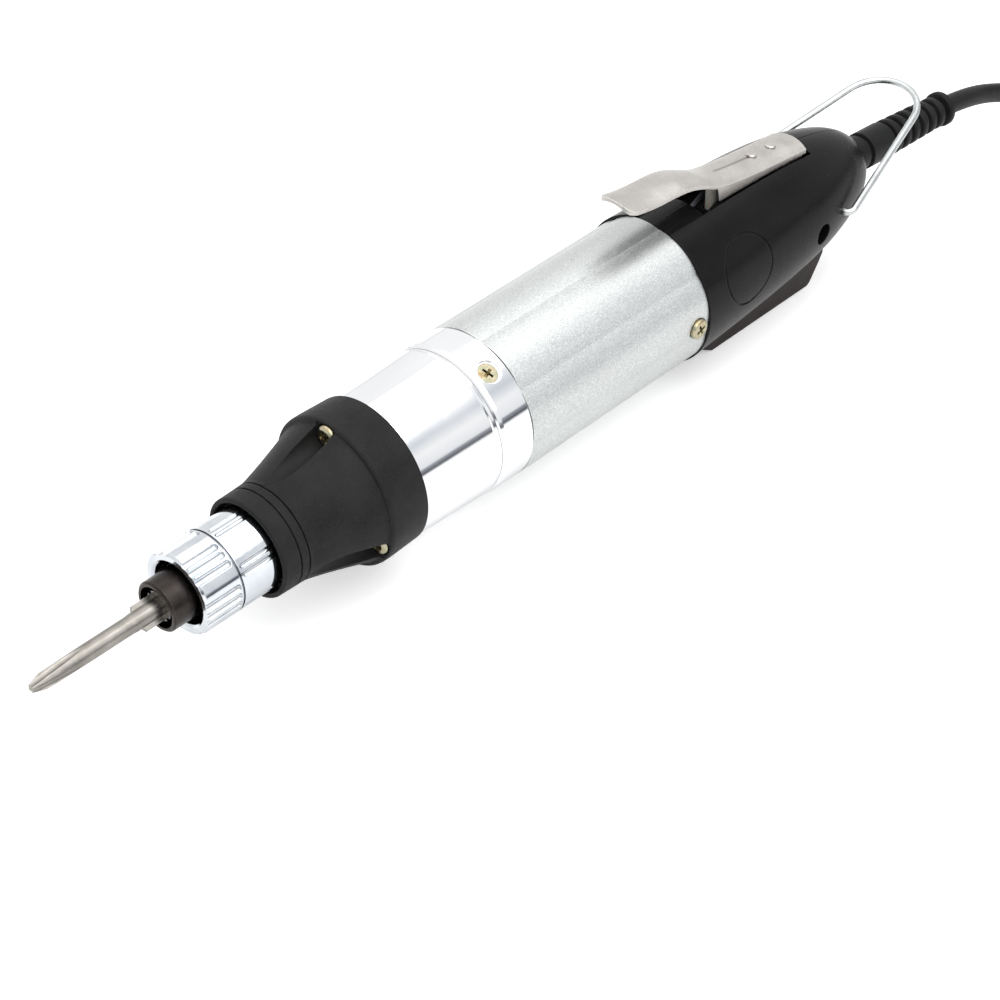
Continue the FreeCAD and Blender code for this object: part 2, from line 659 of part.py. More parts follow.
def bit_collar():
    """Quick-release sleeve; pushed back, its recess lets the lock balls move out."""
    land_end = COLLAR_LAND_X + COLLAR_LAND_LEN
    return turned([
        (COLLAR_FRONT_X, COLLAR_RECESS_R), (COLLAR_FRONT_X, COLLAR_R - 0.4), (COLLAR_FRONT_X + 0.4, COLLAR_R),
        (COLLAR_REAR_X, COLLAR_R), (COLLAR_REAR_X, COLLAR_RELIEF_R), (land_end, COLLAR_RELIEF_R),
        (land_end, SPINDLE_R + RUN_FIT), (COLLAR_LAND_X, SPINDLE_R + RUN_FIT),
        (COLLAR_LAND_X, COLLAR_RECESS_R),
    ])


def collar_clip():
    rear_x = COLLAR_LAND_X - END_PLAY
    clip = ring(rear_x - CLIP_T, rear_x, CLIP_R, SPINDLE_R - 0.3)
    gap = block(rear_x - 2, rear_x + 1, -0.7, 0.7, 0, 10)
    return clip.cut(spun(gap, 130))


def collar_spring():
    x_start = COLLAR_LAND_X + COLLAR_LAND_LEN + 0.1
    mean_r = (SPINDLE_R + COLLAR_RELIEF_R) / 2
    return helix_spring(x_start, SPINDLE_SHOULDER_X - 0.1, mean_r, COLLAR_SPRING_WIRE_R, 4)


# ================================================================ torque spring and clutch
def spring_seat():
    start = KNOB_REAR_X + SEAT_FIT
    return ring(start, start + SPRING_SEAT_T, KNOB_R - 0.3, SPINDLE_BODY_R + RUN_FIT)


def torque_spring():
    start = KNOB_REAR_X + SEAT_FIT + SPRING_SEAT_T + 0.1
    end = CLUTCH_FRONT_X - 0.1
    return helix_spring(start, end, TORQUE_SPRING_R, TORQUE_SPRING_WIRE_R, TORQUE_SPRING_TURNS)


def clutch_ball_centre_x():
    return CLUTCH_FRONT_X + CLUTCH_T + CLUTCH_FACE_GAP / 2


def clutch_ball_set(radius):
    step = 360.0 / CLUTCH_BALLS
    centre = V(clutch_ball_centre_x(), 0, CLUTCH_BALL_PCR)
    return [spun(Part.makeSphere(radius, centre), 20 + step * k) for k in range(CLUTCH_BALLS)]


def clutch_plate():
    """Driven cam plate on the spindle, with a pocket for each clutch ball."""
    body = ring(CLUTCH_FRONT_X, CLUTCH_FRONT_X + CLUTCH_T, CLUTCH_R, SPINDLE_PILOT_R + SEAT_FIT)
    return body.cut(Part.makeCompound(clutch_ball_set(CLUTCH_BALL_R + SEAT_FIT)))


def clutch_balls():
    return Part.makeCompound(clutch_ball_set(CLUTCH_BALL_R))


def driver_front_x():
    return CLUTCH_FRONT_X + CLUTCH_T + CLUTCH_FACE_GAP


def clutch_driver():
    """Second planet carrier: clutch balls in its front face, planet pins on its rear, running in the tube."""
    front = driver_front_x()
    body = ring(front, front + DRIVER_T, TUBE_BORE_R - RUN_FIT, SPINDLE_PILOT_R + SEAT_FIT)
    body = body.cut(Part.makeCompound(clutch_ball_set(CLUTCH_BALL_R + SEAT_FIT)))
    return joined([body] + planet_pins(2))


# ================================================================ gearing
def involute(angle):
    return math.tan(angle) - angle


def gear_wire(teeth, root_r, tip_r, thickness, phase):
    """Outline of a spur gear across the axis; each flank runs along its involute."""
    pitch_r = MODULE * teeth / 2.0
    base_r = pitch_r * math.cos(math.radians(PRESSURE_ANGLE))
    half_at_pitch = thickness / 2.0 / pitch_r
    flank_r = [root_r, max(root_r, base_r) * 0.5 + tip_r * 0.5, tip_r]
    if base_r > root_r:
        flank_r[1] = base_r
    halves = []
    for r in flank_r:
        pressure = math.acos(min(1.0, base_r / r))
        halves.append(half_at_pitch + involute(math.radians(PRESSURE_ANGLE)) - involute(pressure))
    corners = []
    for tooth in range(teeth):
        centre = math.radians(phase) + 2 * math.pi * tooth / teeth
        for r, half in zip(flank_r, halves):
            corners.append(polar(r, math.degrees(centre - half)))
        for r, half in zip(reversed(flank_r), reversed(halves)):
            corners.append(polar(r, math.degrees(centre + half)))
    return Part.makePolygon(corners + [corners[0]])


def spur_gear(teeth, x_start, x_end, bore_r, phase):
    pitch_r = MODULE * teeth / 2.0
    thickness = math.pi * MODULE / 2.0 - TOOTH_THINNING
    wire = gear_wire(teeth, pitch_r - DEDENDUM * MODULE, pitch_r + ADDENDUM * MODULE, thickness, phase)
    body = Part.Face(wire).extrude(V(x_end - x_start, 0, 0))
    body.translate(V(x_start, 0, 0))
    if bore_r <= 0.0:
        return body
    return body.cut(ring(x_start - 1, x_end + 1, bore_r))


def ring_teeth():
    return SUN_TEETH + 2 * PLANET_TEETH


def centre_distance():
    return MODULE * (SUN_TEETH + PLANET_TEETH) / 2.0


def driver_rear_x():
    return driver_front_x() + DRIVER_T


def planet_start_x(stage):
    """Front face of a stage's planets; stage 2 is the one next to the clutch."""
    start_two = driver_rear_x() + END_PLAY + 0.2
    if stage == 2:
        return start_two
    return start_two + PLANET_LEN + 2 * END_PLAY + CARRIER_T + 0.2


def ring_gear():
    """Internal gear shared by both stages."""
    start = driver_rear_x() + 0.2
    end = planet_start_x(1) + PLANET_LEN + END_PLAY + 0.2
    pitch_r = MODULE * ring_teeth() / 2.0
    thickness = math.pi * MODULE / 2.0 + TOOTH_THINNING
    inner_r = pitch_r - ADDENDUM * MODULE
    outer_r = pitch_r + DEDENDUM * MODULE
    phase = 180.0 / ring_teeth()
    wire = gear_wire(ring_teeth(), inner_r, outer_r, thickness, phase)
    space = Part.Face(wire).extrude(V(end - start + 2, 0, 0))
    space.translate(V(start - 1, 0, 0))
    return ring(start, end, RING_GEAR_R).cut(space)


def planet_angle(index):
    return 360.0 / PLANETS * index


def planet(stage, index):
    start = planet_start_x(stage)
    phase = 180.0 + 180.0 / PLANET_TEETH
    body = spur_gear(PLANET_TEETH, start, start + PLANET_LEN, PLANET_PIN_R + RUN_FIT, phase)
    body.translate(V(0, 0, centre_distance()))
    return spun(body, planet_angle(index))


def planet_pins(stage):
    """Pins that stand on a carrier's rear face, one for each planet."""
    start = planet_start_x(stage) - 1.0
    pins = []
    for index in range(PLANETS):
        pin = Part.makeCylinder(PLANET_PIN_R, PLANET_LEN + 1.0, V(start, 0, centre_distance()), X_AXIS)
        pins.append(spun(pin, planet_angle(index)))
    return pins


def first_carrier():
    """Plate that carries the first planets, with the second sun gear on its front."""
    plate_end = planet_start_x(1) - END_PLAY
    plate_start = plate_end - CARRIER_T
    sun = spur_gear(SUN_TEETH, planet_start_x(2), plate_start + 0.1, 0.0, 0)
    plate = ring(plate_start, plate_end, CARRIER_R)
    return joined([plate, sun] + planet_pins(1))


def gear_plate():
    start = planet_start_x(1) + PLANET_LEN + END_PLAY + 0.2 + SEAT_FIT
    return ring(start, start + GEAR_PLATE_T, TUBE_BORE_R - SEAT_FIT, GEAR_PLATE_HOLE_R)


# ================================================================ motor
def motor_front_x():
    return planet_start_x(1) + PLANET_LEN + END_PLAY + 0.2 + 2 * SEAT_FIT + GEAR_PLATE_T


def motor_can():
    front = motor_front_x()
    inner_r = MOTOR_R - MOTOR_WALL
    return turned([
        (front - MOTOR_BOSS_LEN, MOTOR_BUSH_R), (front - MOTOR_BOSS_LEN, MOTOR_BOSS_R), (front, MOTOR_BOSS_R),
        (front, MOTOR_R - 1.0), (front + 1.0, MOTOR_R), (front + MOTOR_LEN, MOTOR_R),
        (front + MOTOR_LEN, inner_r), (front + MOTOR_WALL, inner_r), (front + MOTOR_WALL, MOTOR_BUSH_R),
    ])


def motor_end_cap():
    start = motor_front_x() + MOTOR_LEN
    inner_r = MOTOR_R - MOTOR_WALL - SEAT_FIT
    body = turned([
        (start - 2.0, inner_r - 1.5), (start - 2.0, inner_r), (start + SEAT_FIT, inner_r),
        (start + SEAT_FIT, MOTOR_R), (start + MOTOR_CAP_T, MOTOR_R), (start + MOTOR_CAP_T, MOTOR_BUSH_R),
        (start + 0.4, MOTOR_BUSH_R), (start + 0.4, inner_r - 1.5),
    ])
    terminals = []
    x0 = start + MOTOR_CAP_T
    for y in (-8.5, 8.5):
        terminals.append(block(x0 - 0.1, x0 + 2.2, y - 0.3, y + 0.3, -1.4, 1.4))
    return joined([body] + terminals)


def motor_bushes():
    front = motor_front_x() - MOTOR_BOSS_LEN
    rear = motor_front_x() + MOTOR_LEN + MOTOR_CAP_T
    bore_r = SHAFT_R + RUN_FIT
    return Part.makeCompound([
        ring(front, front + MOTOR_BUSH_LEN, MOTOR_BUSH_R - PIN_FIT, bore_r),
        ring(rear - MOTOR_BUSH_LEN, rear, MOTOR_BUSH_R - PIN_FIT, bore_r),
    ])


def magnets():
    """Two curved magnets inside the can."""
    start = motor_front_x() + 5.0
    outer_r = MOTOR_R - MOTOR_WALL - SEAT_FIT
    full = ring(start, start + MAGNET_LEN, outer_r, outer_r - MAGNET_T)
    gap_half = outer_r * math.cos(math.radians(MAGNET_SPAN / 2))
    full = full.cut(block(start - 1, start + MAGNET_LEN + 1, -20, 20, -gap_half, gap_half))
    return full


def pinion_end_x():
    return planet_start_x(1) + PLANET_LEN


def armature_shaft():
    """Motor shaft with the first sun gear pressed on its front end."""
    return ring(planet_start_x(1) + 0.2, motor_front_x() + MOTOR_LEN + MOTOR_CAP_T, SHAFT_R)


def pinion():
    return spur_gear(SUN_TEETH, planet_start_x(1) + 0.2, pinion_end_x(), SHAFT_R + PIN_FIT, 0)


def armature_core():
    """Stack of slotted laminations."""
    start = motor_front_x() + 7.5
    half = CORE_SLOT_W / 2
    core = ring(start, start + CORE_LEN, CORE_R, SHAFT_R + PIN_FIT)
    for slot in range(CORE_SLOTS):
        throat = block(start - 1, start + CORE_LEN + 1, -half, half, CORE_HUB_R, CORE_R + 1)
        pocket = Part.makeCylinder(2.0, CORE_LEN + 2, V(start - 1, 0, CORE_HUB_R + 2.2), X_AXIS)
        core = core.cut(spun(throat.fuse(pocket), 36 + slot * 360.0 / CORE_SLOTS))
    return core


def windings():
    """Copper in the slots, between the poles."""
    start = motor_front_x() + 6.0
    coils = []
    for slot in range(CORE_SLOTS):
        coil = Part.makeCylinder(1.95, CORE_LEN + 3, V(start, 0, CORE_HUB_R + 2.2), X_AXIS)
        coils.append(spun(coil, 36 + slot * 360.0 / CORE_SLOTS))
    return Part.makeCompound(coils)


def commutator():
    start = motor_front_x() + 29.5
    return ring(start, start + COMMUTATOR_LEN, COMMUTATOR_R, SHAFT_R + PIN_FIT)


def brushes():
    start = motor_front_x() + 31.0
    top = MOTOR_R - MOTOR_WALL - 0.3
    pair = []
    for side in (-1, 1):
        low = min(side * (COMMUTATOR_R + 0.1), side * top)
        high = max(side * (COMMUTATOR_R + 0.1), side * top)
        pair.append(block(start, start + 3.0, -BRUSH_W / 2, BRUSH_W / 2, low, high))
    return Part.makeCompound(pair)


# ================================================================ handle shell
def shell_form(inset, front_x):
    """Outside of the handle, or its inside when inset by the wall; its axis rises a little to the tail."""
    points = [(x, 0, r - inset) for x, r in SHELL_PROFILE if r - inset > 1.0]
    tail_x = SHELL_TAIL_X - inset
    points.append((tail_x, 0, 0.0))
    curve = Part.BSplineCurve()
    curve.interpolate([V(*p) for p in points])
    first = points[0]
    edges = [
        curve.toShape(),
        Part.makeLine(V(tail_x, 0, 0), V(first[0] - 4, 0, 0)),
        Part.makeLine(V(first[0] - 4, 0, 0), V(first[0] - 4, 0, first[2])),
        Part.makeLine(V(first[0] - 4, 0, first[2]), V(*first)),
    ]
    body = Part.Face(Part.Wire(edges)).revolve(ORIGIN, X_AXIS, 360)
    body.rotate(V(BARREL_LEN, 0, 0), Y_AXIS, -SHELL_TILT)
    return body.common(block(front_x, 200, -40, 40, -40, 40))


def slot_half_width():
    return LEVER_HALF_W + SLOT_SIDE_GAP


def well_half_width():
    return ROCKER_HALF_W + WELL_SIDE_GAP


def well_span():
    xs = [x for x, z in ROCKER_PROFILE]
    return min(xs) - WELL_END_GAP, max(xs) + WELL_END_GAP


def shell_inner_walls(form):
    """Floor and walls of the lever slot and of the rocker's well, and the screw boss."""
    w = slot_half_width() + INNER_WALL
    slot_rear = LEVER_REAR_X + SLOT_SIDE_GAP + INNER_WALL
    trough = block(SLOT_FRONT_X - INNER_WALL, slot_rear, -w, w, SLOT_FLOOR_Z - INNER_WALL, 30)
    w = well_half_width() + INNER_WALL
    x0, x1 = well_span()
    well = block(x0 - INNER_WALL, x1 + INNER_WALL, -w, w, -30, WELL_CEILING_Z + INNER_WALL)
    boss = cross_rod(SHELL_SCREW_X, SHELL_SCREW_Z, SHELL_BOSS_R, -20, 20)
    return trough.multiFuse([well, boss]).common(form)


def shell_cuts():
    """Everything that is open in the handle."""
    w = slot_half_width()
    slot = block(SLOT_FRONT_X, LEVER_REAR_X + SLOT_SIDE_GAP, -w, w, SLOT_FLOOR_Z, 40)
    apron = block(BARREL_LEN - 1, SLOT_FRONT_X + 1, -w, w, SLOT_FLOOR_Z, 40)
    apron = apron.cut(shell_form(SLOT_APRON_DEPTH, BARREL_LEN - 2))
    w = well_half_width()
    x0, x1 = well_span()
    well = block(x0, x1, -w, w, -40, WELL_CEILING_Z)
    post_half = SELECTOR_POST / 2 + SELECTOR_TRAVEL + MOVE_GAP
    post_half_w = SELECTOR_POST_W / 2 + MOVE_GAP
    post_slot = block(ROCKER_PIVOT_X - post_half, ROCKER_PIVOT_X + post_half, -post_half_w, post_half_w,
                      WELL_CEILING_Z - 1, WELL_CEILING_Z + INNER_WALL + 0.1)
    pusher_hole = Part.makeCylinder(PUSHER_R + MOVE_GAP, 8, V(PUSHER_X, 0, SLOT_FLOOR_Z - 4))
    end = lever_pin_half()
    lever_pin_hole = cross_rod(LEVER_PIVOT_X, LEVER_PIVOT_Z, LEVER_PIN_R + PIN_FIT, -end, end)
    end = rocker_pin_end()
    rocker_pin_hole = cross_rod(ROCKER_PIVOT_X, ROCKER_PIVOT_Z, ROCKER_PIN_R + PIN_FIT, -end, end)
    bail_hole = cross_rod(BAIL_PIVOT_X, BAIL_PIVOT_Z, BAIL_WIRE_R + RUN_FIT, -30, 30)
    x, z, seat_y = SHELL_SCREW_X, SHELL_SCREW_Z, SHELL_SCREW_SEAT_Y
    counterbore = cross_rod(x, z, SHELL_SCREW_HEAD_R + MOVE_GAP, -30, seat_y)
    screw_hole = cross_rod(x, z, SHELL_SCREW_R + SEAT_FIT, seat_y - 1, seat_y + SHELL_SCREW_LEN + 0.5)
    boot_hole = along_boot(Part.makeCylinder(BOOT_NECK_R + SEAT_FIT, 12, V(-4, 0, 0), X_AXIS))
    return [slot, apron, well, post_slot, pusher_hole, lever_pin_hole, rocker_pin_hole, bail_hole,
            counterbore, screw_hole, boot_hole, surface_lines()]


def surface_lines():
    """Cutters for the parting line and the round outline, each as deep as the surface lets it."""
    front = BARREL_LEN - 2
    plate = block(BARREL_LEN + 0.5, SHELL_TAIL_X + 1, -PARTING_HALF_W, PARTING_HALF_W, -30, 30)
    parting = plate.cut(shell_form(PARTING_HALF_W, front))
    outer = Part.makeCylinder(CIRCLE_R + CIRCLE_LINE_W / 2, 15, V(CIRCLE_X, 0, 10))
    inner = Part.makeCylinder(CIRCLE_R - CIRCLE_LINE_W / 2, 15, V(CIRCLE_X, 0, 10))
    outline = spun(outer.cut(inner), CIRCLE_ANGLE).cut(shell_form(CIRCLE_DEPTH, front))
    return Part.makeCompound([parting, outline])


def shell_spigot():
    """Round spigot that the barrel slides over, with a boss behind each barrel screw."""
    r_out = BARREL_BORE_R - SEAT_FIT
    r_in = r_out - SHELL_SPIGOT_WALL
    start = BARREL_LEN - SHELL_SPIGOT_LEN
    body = ring(start, BARREL_LEN + 3, r_out, r_in)
    bosses = cross_rod(BARREL_SCREW_X, 0, 2.8, -r_out + 0.4, -r_out + 4.4)
    bosses = bosses.fuse(cross_rod(BARREL_SCREW_X, 0, 2.8, r_out - 4.4, r_out - 0.4))
    screw_holes = cross_rod(BARREL_SCREW_X, 0, BARREL_SCREW_R + SEAT_FIT, -20, 20)
    return body.fuse(bosses).cut(screw_holes)


def shell_whole():
    front = BARREL_LEN + SEAT_FIT
    form = shell_form(0.0, front)
    cavity = shell_form(SHELL_WALL, front + 2.0)
    mouth = ring(front - 1, front + 3, BARREL_BORE_R - SEAT_FIT - SHELL_SPIGOT_WALL)
    hollow = form.cut(cavity).cut(mouth)
    body = hollow.fuse(shell_inner_walls(form))
    body = body.fuse(shell_spigot())
    for cutter in shell_cuts():
        body = body.cut(cutter)
    return body


def shell_half(whole, side):
    """One half of the handle; the halves meet on the tool's middle plane."""
    if side < 0:
        return whole.common(block(0, 200, -40, 0, -40, 40))
    return whole.common(block(0, 200, 0, 40, -40, 40))


def shell_screw():
    x, z, seat_y = SHELL_SCREW_X, SHELL_SCREW_Z, SHELL_SCREW_SEAT_Y
    head = cross_rod(x, z, SHELL_SCREW_HEAD_R, seat_y - SHELL_SCREW_HEAD_H, seat_y)
    shank = cross_rod(x, z, SHELL_SCREW_R, seat_y, seat_y + SHELL_SCREW_LEN)
    return joined([head, shank])


# ================================================================ start lever
def lever_path():
    return smooth_edge([(x, 0, z) for x, z in LEVER_TOP])


def lever_section(half_w, drop, depth):
    """Crowned cross-section of the lever, square to the start of its path."""
    path = lever_path()
    start = path.valueAt(path.FirstParameter)
    along = path.tangentAt(path.FirstParameter)
    normal = Y_AXIS.cross(along) * -1
    if normal.z < 0:
        normal = normal * -1
    left = start + Y_AXIS * (-half_w) - normal * (drop + LEVER_CROWN)
    right = start + Y_AXIS * half_w - normal * (drop + LEVER_CROWN)
    crown = start - normal * drop
    low_left = start + Y_AXIS * (-half_w) - normal * depth
    low_right = start + Y_AXIS * half_w - normal * depth
    return Part.Wire([
        Part.Arc(left, crown, right).toShape(),
        Part.makeLine(right, low_right),
        Part.makeLine(low_right, low_left),
        Part.makeLine(low_left, left),
    ])


def lever_swept(section):
    return Part.Wire([lever_path()]).makePipeShell([section], True, False)


def lever_side_limit():
    """Region of the side view that the pressed sheet keeps: open arch in front, skirts and ears behind."""
    drop = LEVER_CROWN + LEVER_SHEET + 0.05
    arch = [(x, -8, z - drop) for x, z in LEVER_TOP if x < LEVER_SKIRT_X]
    first, last = arch[0], arch[-1]
    ear_front = LEVER_PIVOT_X - LEVER_EAR_R
    ear_rear = LEVER_PIVOT_X + LEVER_EAR_R
    slope = (LEVER_SKIRT_REAR_Z - LEVER_SKIRT_Z) / (LEVER_REAR_X - LEVER_SKIRT_X)
    skirt_z = LEVER_SKIRT_Z + slope * (ear_front - LEVER_SKIRT_X)
    corners = [
        last, (LEVER_SKIRT_X - 0.5, -8, last[2] - 0.9), (LEVER_SKIRT_X + 0.2, -8, LEVER_SKIRT_Z),
        (ear_front - 0.8, -8, skirt_z), (ear_front, -8, LEVER_EAR_BOTTOM_Z + 0.8),
        (ear_front + 0.8, -8, LEVER_EAR_BOTTOM_Z), (ear_rear - 0.8, -8, LEVER_EAR_BOTTOM_Z),
        (ear_rear, -8, LEVER_EAR_BOTTOM_Z + 0.8), (ear_rear + 0.4, -8, LEVER_SKIRT_REAR_Z + 0.2),
        (LEVER_REAR_X + 3, -8, LEVER_SKIRT_REAR_Z), (LEVER_REAR_X + 3, -8, 40), (LEVER_FRONT_X - 3, -8, 40),
        (LEVER_FRONT_X - 3, -8, first[2] + 0.8), first,
    ]
    edges = [smooth_edge(arch)]
    edges += [Part.makeLine(V(*a), V(*b)) for a, b in zip(corners, corners[1:])]
    return Part.Face(Part.Wire(edges)).extrude(V(0, 16, 0))


def lever_plan_limit():
    """Plan outline: narrow rounded lip in front, bowed end at the back."""
    w = LEVER_HALF_W + 0.01
    lip = 2.6
    corner_x = LEVER_FRONT_X + 3.6
    back_x = LEVER_REAR_X - LEVER_BACK_BOW
    mid = V(LEVER_FRONT_X + 1.0, -(lip + (w - lip) * 0.72), 10)
    mirror = V(mid.x, -mid.y, mid.z)
    edges = [
        Part.makeLine(V(LEVER_FRONT_X, lip, 10), V(LEVER_FRONT_X, -lip, 10)),
        Part.Arc(V(LEVER_FRONT_X, -lip, 10), mid, V(corner_x, -w, 10)).toShape(),
        Part.makeLine(V(corner_x, -w, 10), V(back_x, -w, 10)),
        Part.Arc(V(back_x, -w, 10), V(LEVER_REAR_X, 0, 10), V(back_x, w, 10)).toShape(),
        Part.makeLine(V(back_x, w, 10), V(corner_x, w, 10)),
        Part.Arc(V(corner_x, w, 10), mirror, V(LEVER_FRONT_X, lip, 10)).toShape(),
    ]
    return Part.Face(Part.Wire(edges)).extrude(V(0, 0, 30))


def lever():
    """Start lever pressed from stainless sheet."""
    outer = lever_swept(lever_section(LEVER_HALF_W, 0.0, 7.5))
    inner = lever_swept(lever_section(LEVER_HALF_W - LEVER_SHEET, LEVER_SHEET, 9.0))
    body = outer.cut(inner)
    body = body.common(lever_side_limit()).common(lever_plan_limit())
    body = body.cut(cross_rod(LEVER_PIVOT_X, LEVER_PIVOT_Z, LEVER_PIN_R + RUN_FIT, -10, 10))
    for x in RIVET_X:
        body = body.cut(rivet_hole(x))
    return max(body.Solids, key=lambda s: s.Volume)


def lever_top_z(x):
    """Height of the lever's crest."""
    curve = lever_path().Curve
    z = LEVER_TOP[0][1]
    for step in range(6):
        near = curve.value(curve.parameter(V(x, 0, z)))
        z = z + (near.z - z)
    return near.z


def lever_slope(x):
    """Angle at which the crest falls towards the cord, in degrees."""
    return math.degrees(math.atan2(lever_top_z(x - 1) - lever_top_z(x + 1), 2.0))


def leaf_top_z(x):
    """Top of the leaf where it is riveted, clear of the crowned sheet above it."""
    crown_fall = LEVER_CROWN * (LEAF_HALF_W / (LEVER_HALF_W - LEVER_SHEET)) ** 2
    return lever_top_z(x) - LEVER_SHEET - crown_fall - LEAF_GAP


def lever_rivets():
    rivets = []
    for x in RIVET_X:
        top = lever_top_z(x)
        head = Part.makeCylinder(RIVET_HEAD_R, RIVET_HEAD_H, V(x, 0, top))
        head = head.makeFillet(RIVET_HEAD_H * 0.8, [head.Edges[0]])
        leaf_low_z = leaf_top_z(x) - LEAF_T
        shank = Part.makeCylinder(RIVET_R, top - leaf_low_z + 0.4, V(x, 0, leaf_low_z - 0.3))
        tail = Part.makeCylinder(RIVET_HEAD_R, 0.45, V(x, 0, leaf_low_z - 0.5))
        rivets.append(square_to_lever(joined([head, shank, tail]), x))
    return Part.makeCompound(rivets)


def rivet_hole(x):
    hole = Part.makeCylinder(RIVET_R + PIN_FIT, 10, V(x, 0, lever_top_z(x) - 8))
    return square_to_lever(hole, x)


def square_to_lever(shape, x):
    """Tilt an upright shape until it stands square on the lever at x."""
    shape.rotate(V(x, 0, lever_top_z(x)), Y_AXIS, lever_slope(x))
    return shape


def lever_leaf_spring():
    """Return spring: a forked strip riveted under the lever, its tip resting on the slot's floor."""
    tip_z = SLOT_FLOOR_Z + LEAF_T + SEAT_FIT
    bend_z = leaf_top_z(LEAF_BEND_X)
    bowed = [
        (LEAF_BEND_X, 0, bend_z), (86.0, 0, bend_z - 0.1), (82.0, 0, bend_z - 1.3), (78.5, 0, bend_z - 2.9),
        (75.5, 0, tip_z + 0.9), (72.5, 0, tip_z), (70.0, 0, tip_z + 0.6),
    ]
    rear = (LEAF_REAR_X, 0, leaf_top_z(LEAF_REAR_X))
    outline = [rear] + bowed
    low = [(x, y, z - LEAF_T) for x, y, z in outline]
    edges = [
        Part.makeLine(V(*rear), V(*bowed[0])), smooth_edge(bowed), Part.makeLine(V(*bowed[-1]), V(*low[-1])),
        smooth_edge(low[1:]), Part.makeLine(V(*low[1]), V(*low[0])), Part.makeLine(V(*low[0]), V(*rear)),
    ]
    body = Part.Face(Part.Wire(Part.__sortEdges__(edges))).extrude(V(0, 2 * LEAF_HALF_W, 0))
    body.translate(V(0, -LEAF_HALF_W, 0))
    fork_half = PUSHER_R + 0.45
    body = body.cut(block(71.0, 85.0, -fork_half, fork_half, 5, 25))
    for x in RIVET_X:
        body = body.cut(rivet_hole(x))
    return body


def lever_pin_half():
    return slot_half_width() + INNER_WALL - 0.2


def lever_pin():
    return cross_rod(LEVER_PIVOT_X, LEVER_PIVOT_Z, LEVER_PIN_R, -lever_pin_half(), lever_pin_half())


def pusher_top_z():
    return lever_top_z(PUSHER_X) - LEVER_SHEET - 0.35


def switch_top_z():
    return SLOT_FLOOR_Z - INNER_WALL - 0.2


def switch_pusher():
    """Round plunger between the lever and the start switch."""
    low = switch_top_z() - 3.0
    rod = Part.makeCylinder(PUSHER_R, pusher_top_z() - low, V(PUSHER_X, 0, low))
    return rod.makeFillet(0.6, [rod.Edges[0]])


def start_switch():
    top = switch_top_z()
    x1 = START_SWITCH_X + START_SWITCH_LEN
    w = START_SWITCH_W / 2
    body = block(START_SWITCH_X, x1, -w, w, top - START_SWITCH_H, top)
    bore_depth = 3.0 + PUSHER_TRAVEL + 0.5
    body = body.cut(Part.makeCylinder(PUSHER_R + RUN_FIT, bore_depth + 1, V(PUSHER_X, 0, top - bore_depth)))
    legs = []
    for x in (START_SWITCH_X + 2.5, START_SWITCH_X + 9.0, START_SWITCH_X + 16.5):
        legs.append(block(x, x + 0.6, -1.6, 1.6, top - START_SWITCH_H - 1.8, top - START_SWITCH_H + 0.1))
    return joined([body] + legs)


# ================================================================ forward and reverse rocker
def rocker():
    """Long seesaw under the handle, hollow inside, with a post that works the selector."""
    body = side_prism(ROCKER_PROFILE, ROCKER_HALF_W)
    body = body.makeFillet(0.8, rocker_long_edges(body))
    body = body.cut(side_prism(rocker_hollow(), ROCKER_HALF_W - ROCKER_WALL))
    bosses = [rocker_boss(side) for side in (-1, 1)]
    half = SELECTOR_POST / 2
    half_w = SELECTOR_POST_W / 2
    floor_z = ROCKER_BOTTOM_Z + ROCKER_WALL - 0.2
    post_top = selector_bottom_z() + SELECTOR_POST_REACH
    post = block(ROCKER_PIVOT_X - half, ROCKER_PIVOT_X + half, -half_w, half_w, floor_z, post_top)
    body = joined([body, post] + bosses)
    pin_gap = ROCKER_PIN_R + RUN_FIT
    inner = ROCKER_HALF_W - ROCKER_PIN_IN - 0.2
    body = body.cut(cross_rod(ROCKER_PIVOT_X, ROCKER_PIVOT_Z, pin_gap, inner, 12))
    return body.cut(cross_rod(ROCKER_PIVOT_X, ROCKER_PIVOT_Z, pin_gap, -12, -inner))


def rocker_hollow():
    """Side outline of the rocker's inside, a wall's thickness in from its outside and open at the top."""
    outline = []
    for x, z in ROCKER_PROFILE:
        inner_x = x + ROCKER_WALL if x < ROCKER_PIVOT_X else x - ROCKER_WALL
        inner_z = max(z, ROCKER_BOTTOM_Z + ROCKER_WALL)
        if -19 < z < -15:
            inner_z = inner_z + 1.0
        outline.append((inner_x, inner_z))
    outline[0] = (outline[0][0], 0.0)
    outline[-1] = (outline[-1][0], 0.0)
    return outline


def rocker_long_edges(body):
    """The rocker's lower edges along both sides."""
    picked = []
    for edge in body.Edges:
        ends = [v.Point for v in edge.Vertexes]
        level = all(abs(p.z - ROCKER_BOTTOM_Z) < 0.01 for p in ends)
        if level and abs(ends[0].y - ends[1].y) < 0.01:
            picked.append(edge)
    return picked


def rocker_boss(side):
    inner = ROCKER_HALF_W - ROCKER_PIN_IN - 1.0
    outer = ROCKER_HALF_W
    if side < 0:
        return cross_rod(ROCKER_PIVOT_X, ROCKER_PIVOT_Z, ROCKER_BOSS_R, -outer, -inner)
    return cross_rod(ROCKER_PIVOT_X, ROCKER_PIVOT_Z, ROCKER_BOSS_R, inner, outer)


def rocker_pin_end():
    return well_half_width() + INNER_WALL - 0.2


def rocker_pins():
    inner = ROCKER_HALF_W - ROCKER_PIN_IN
    return Part.makeCompound([
        cross_rod(ROCKER_PIVOT_X, ROCKER_PIVOT_Z, ROCKER_PIN_R, inner, rocker_pin_end()),
        cross_rod(ROCKER_PIVOT_X, ROCKER_PIVOT_Z, ROCKER_PIN_R, -rocker_pin_end(), -inner),
    ])


def selector_bottom_z():
    return WELL_CEILING_Z + INNER_WALL + 0.1


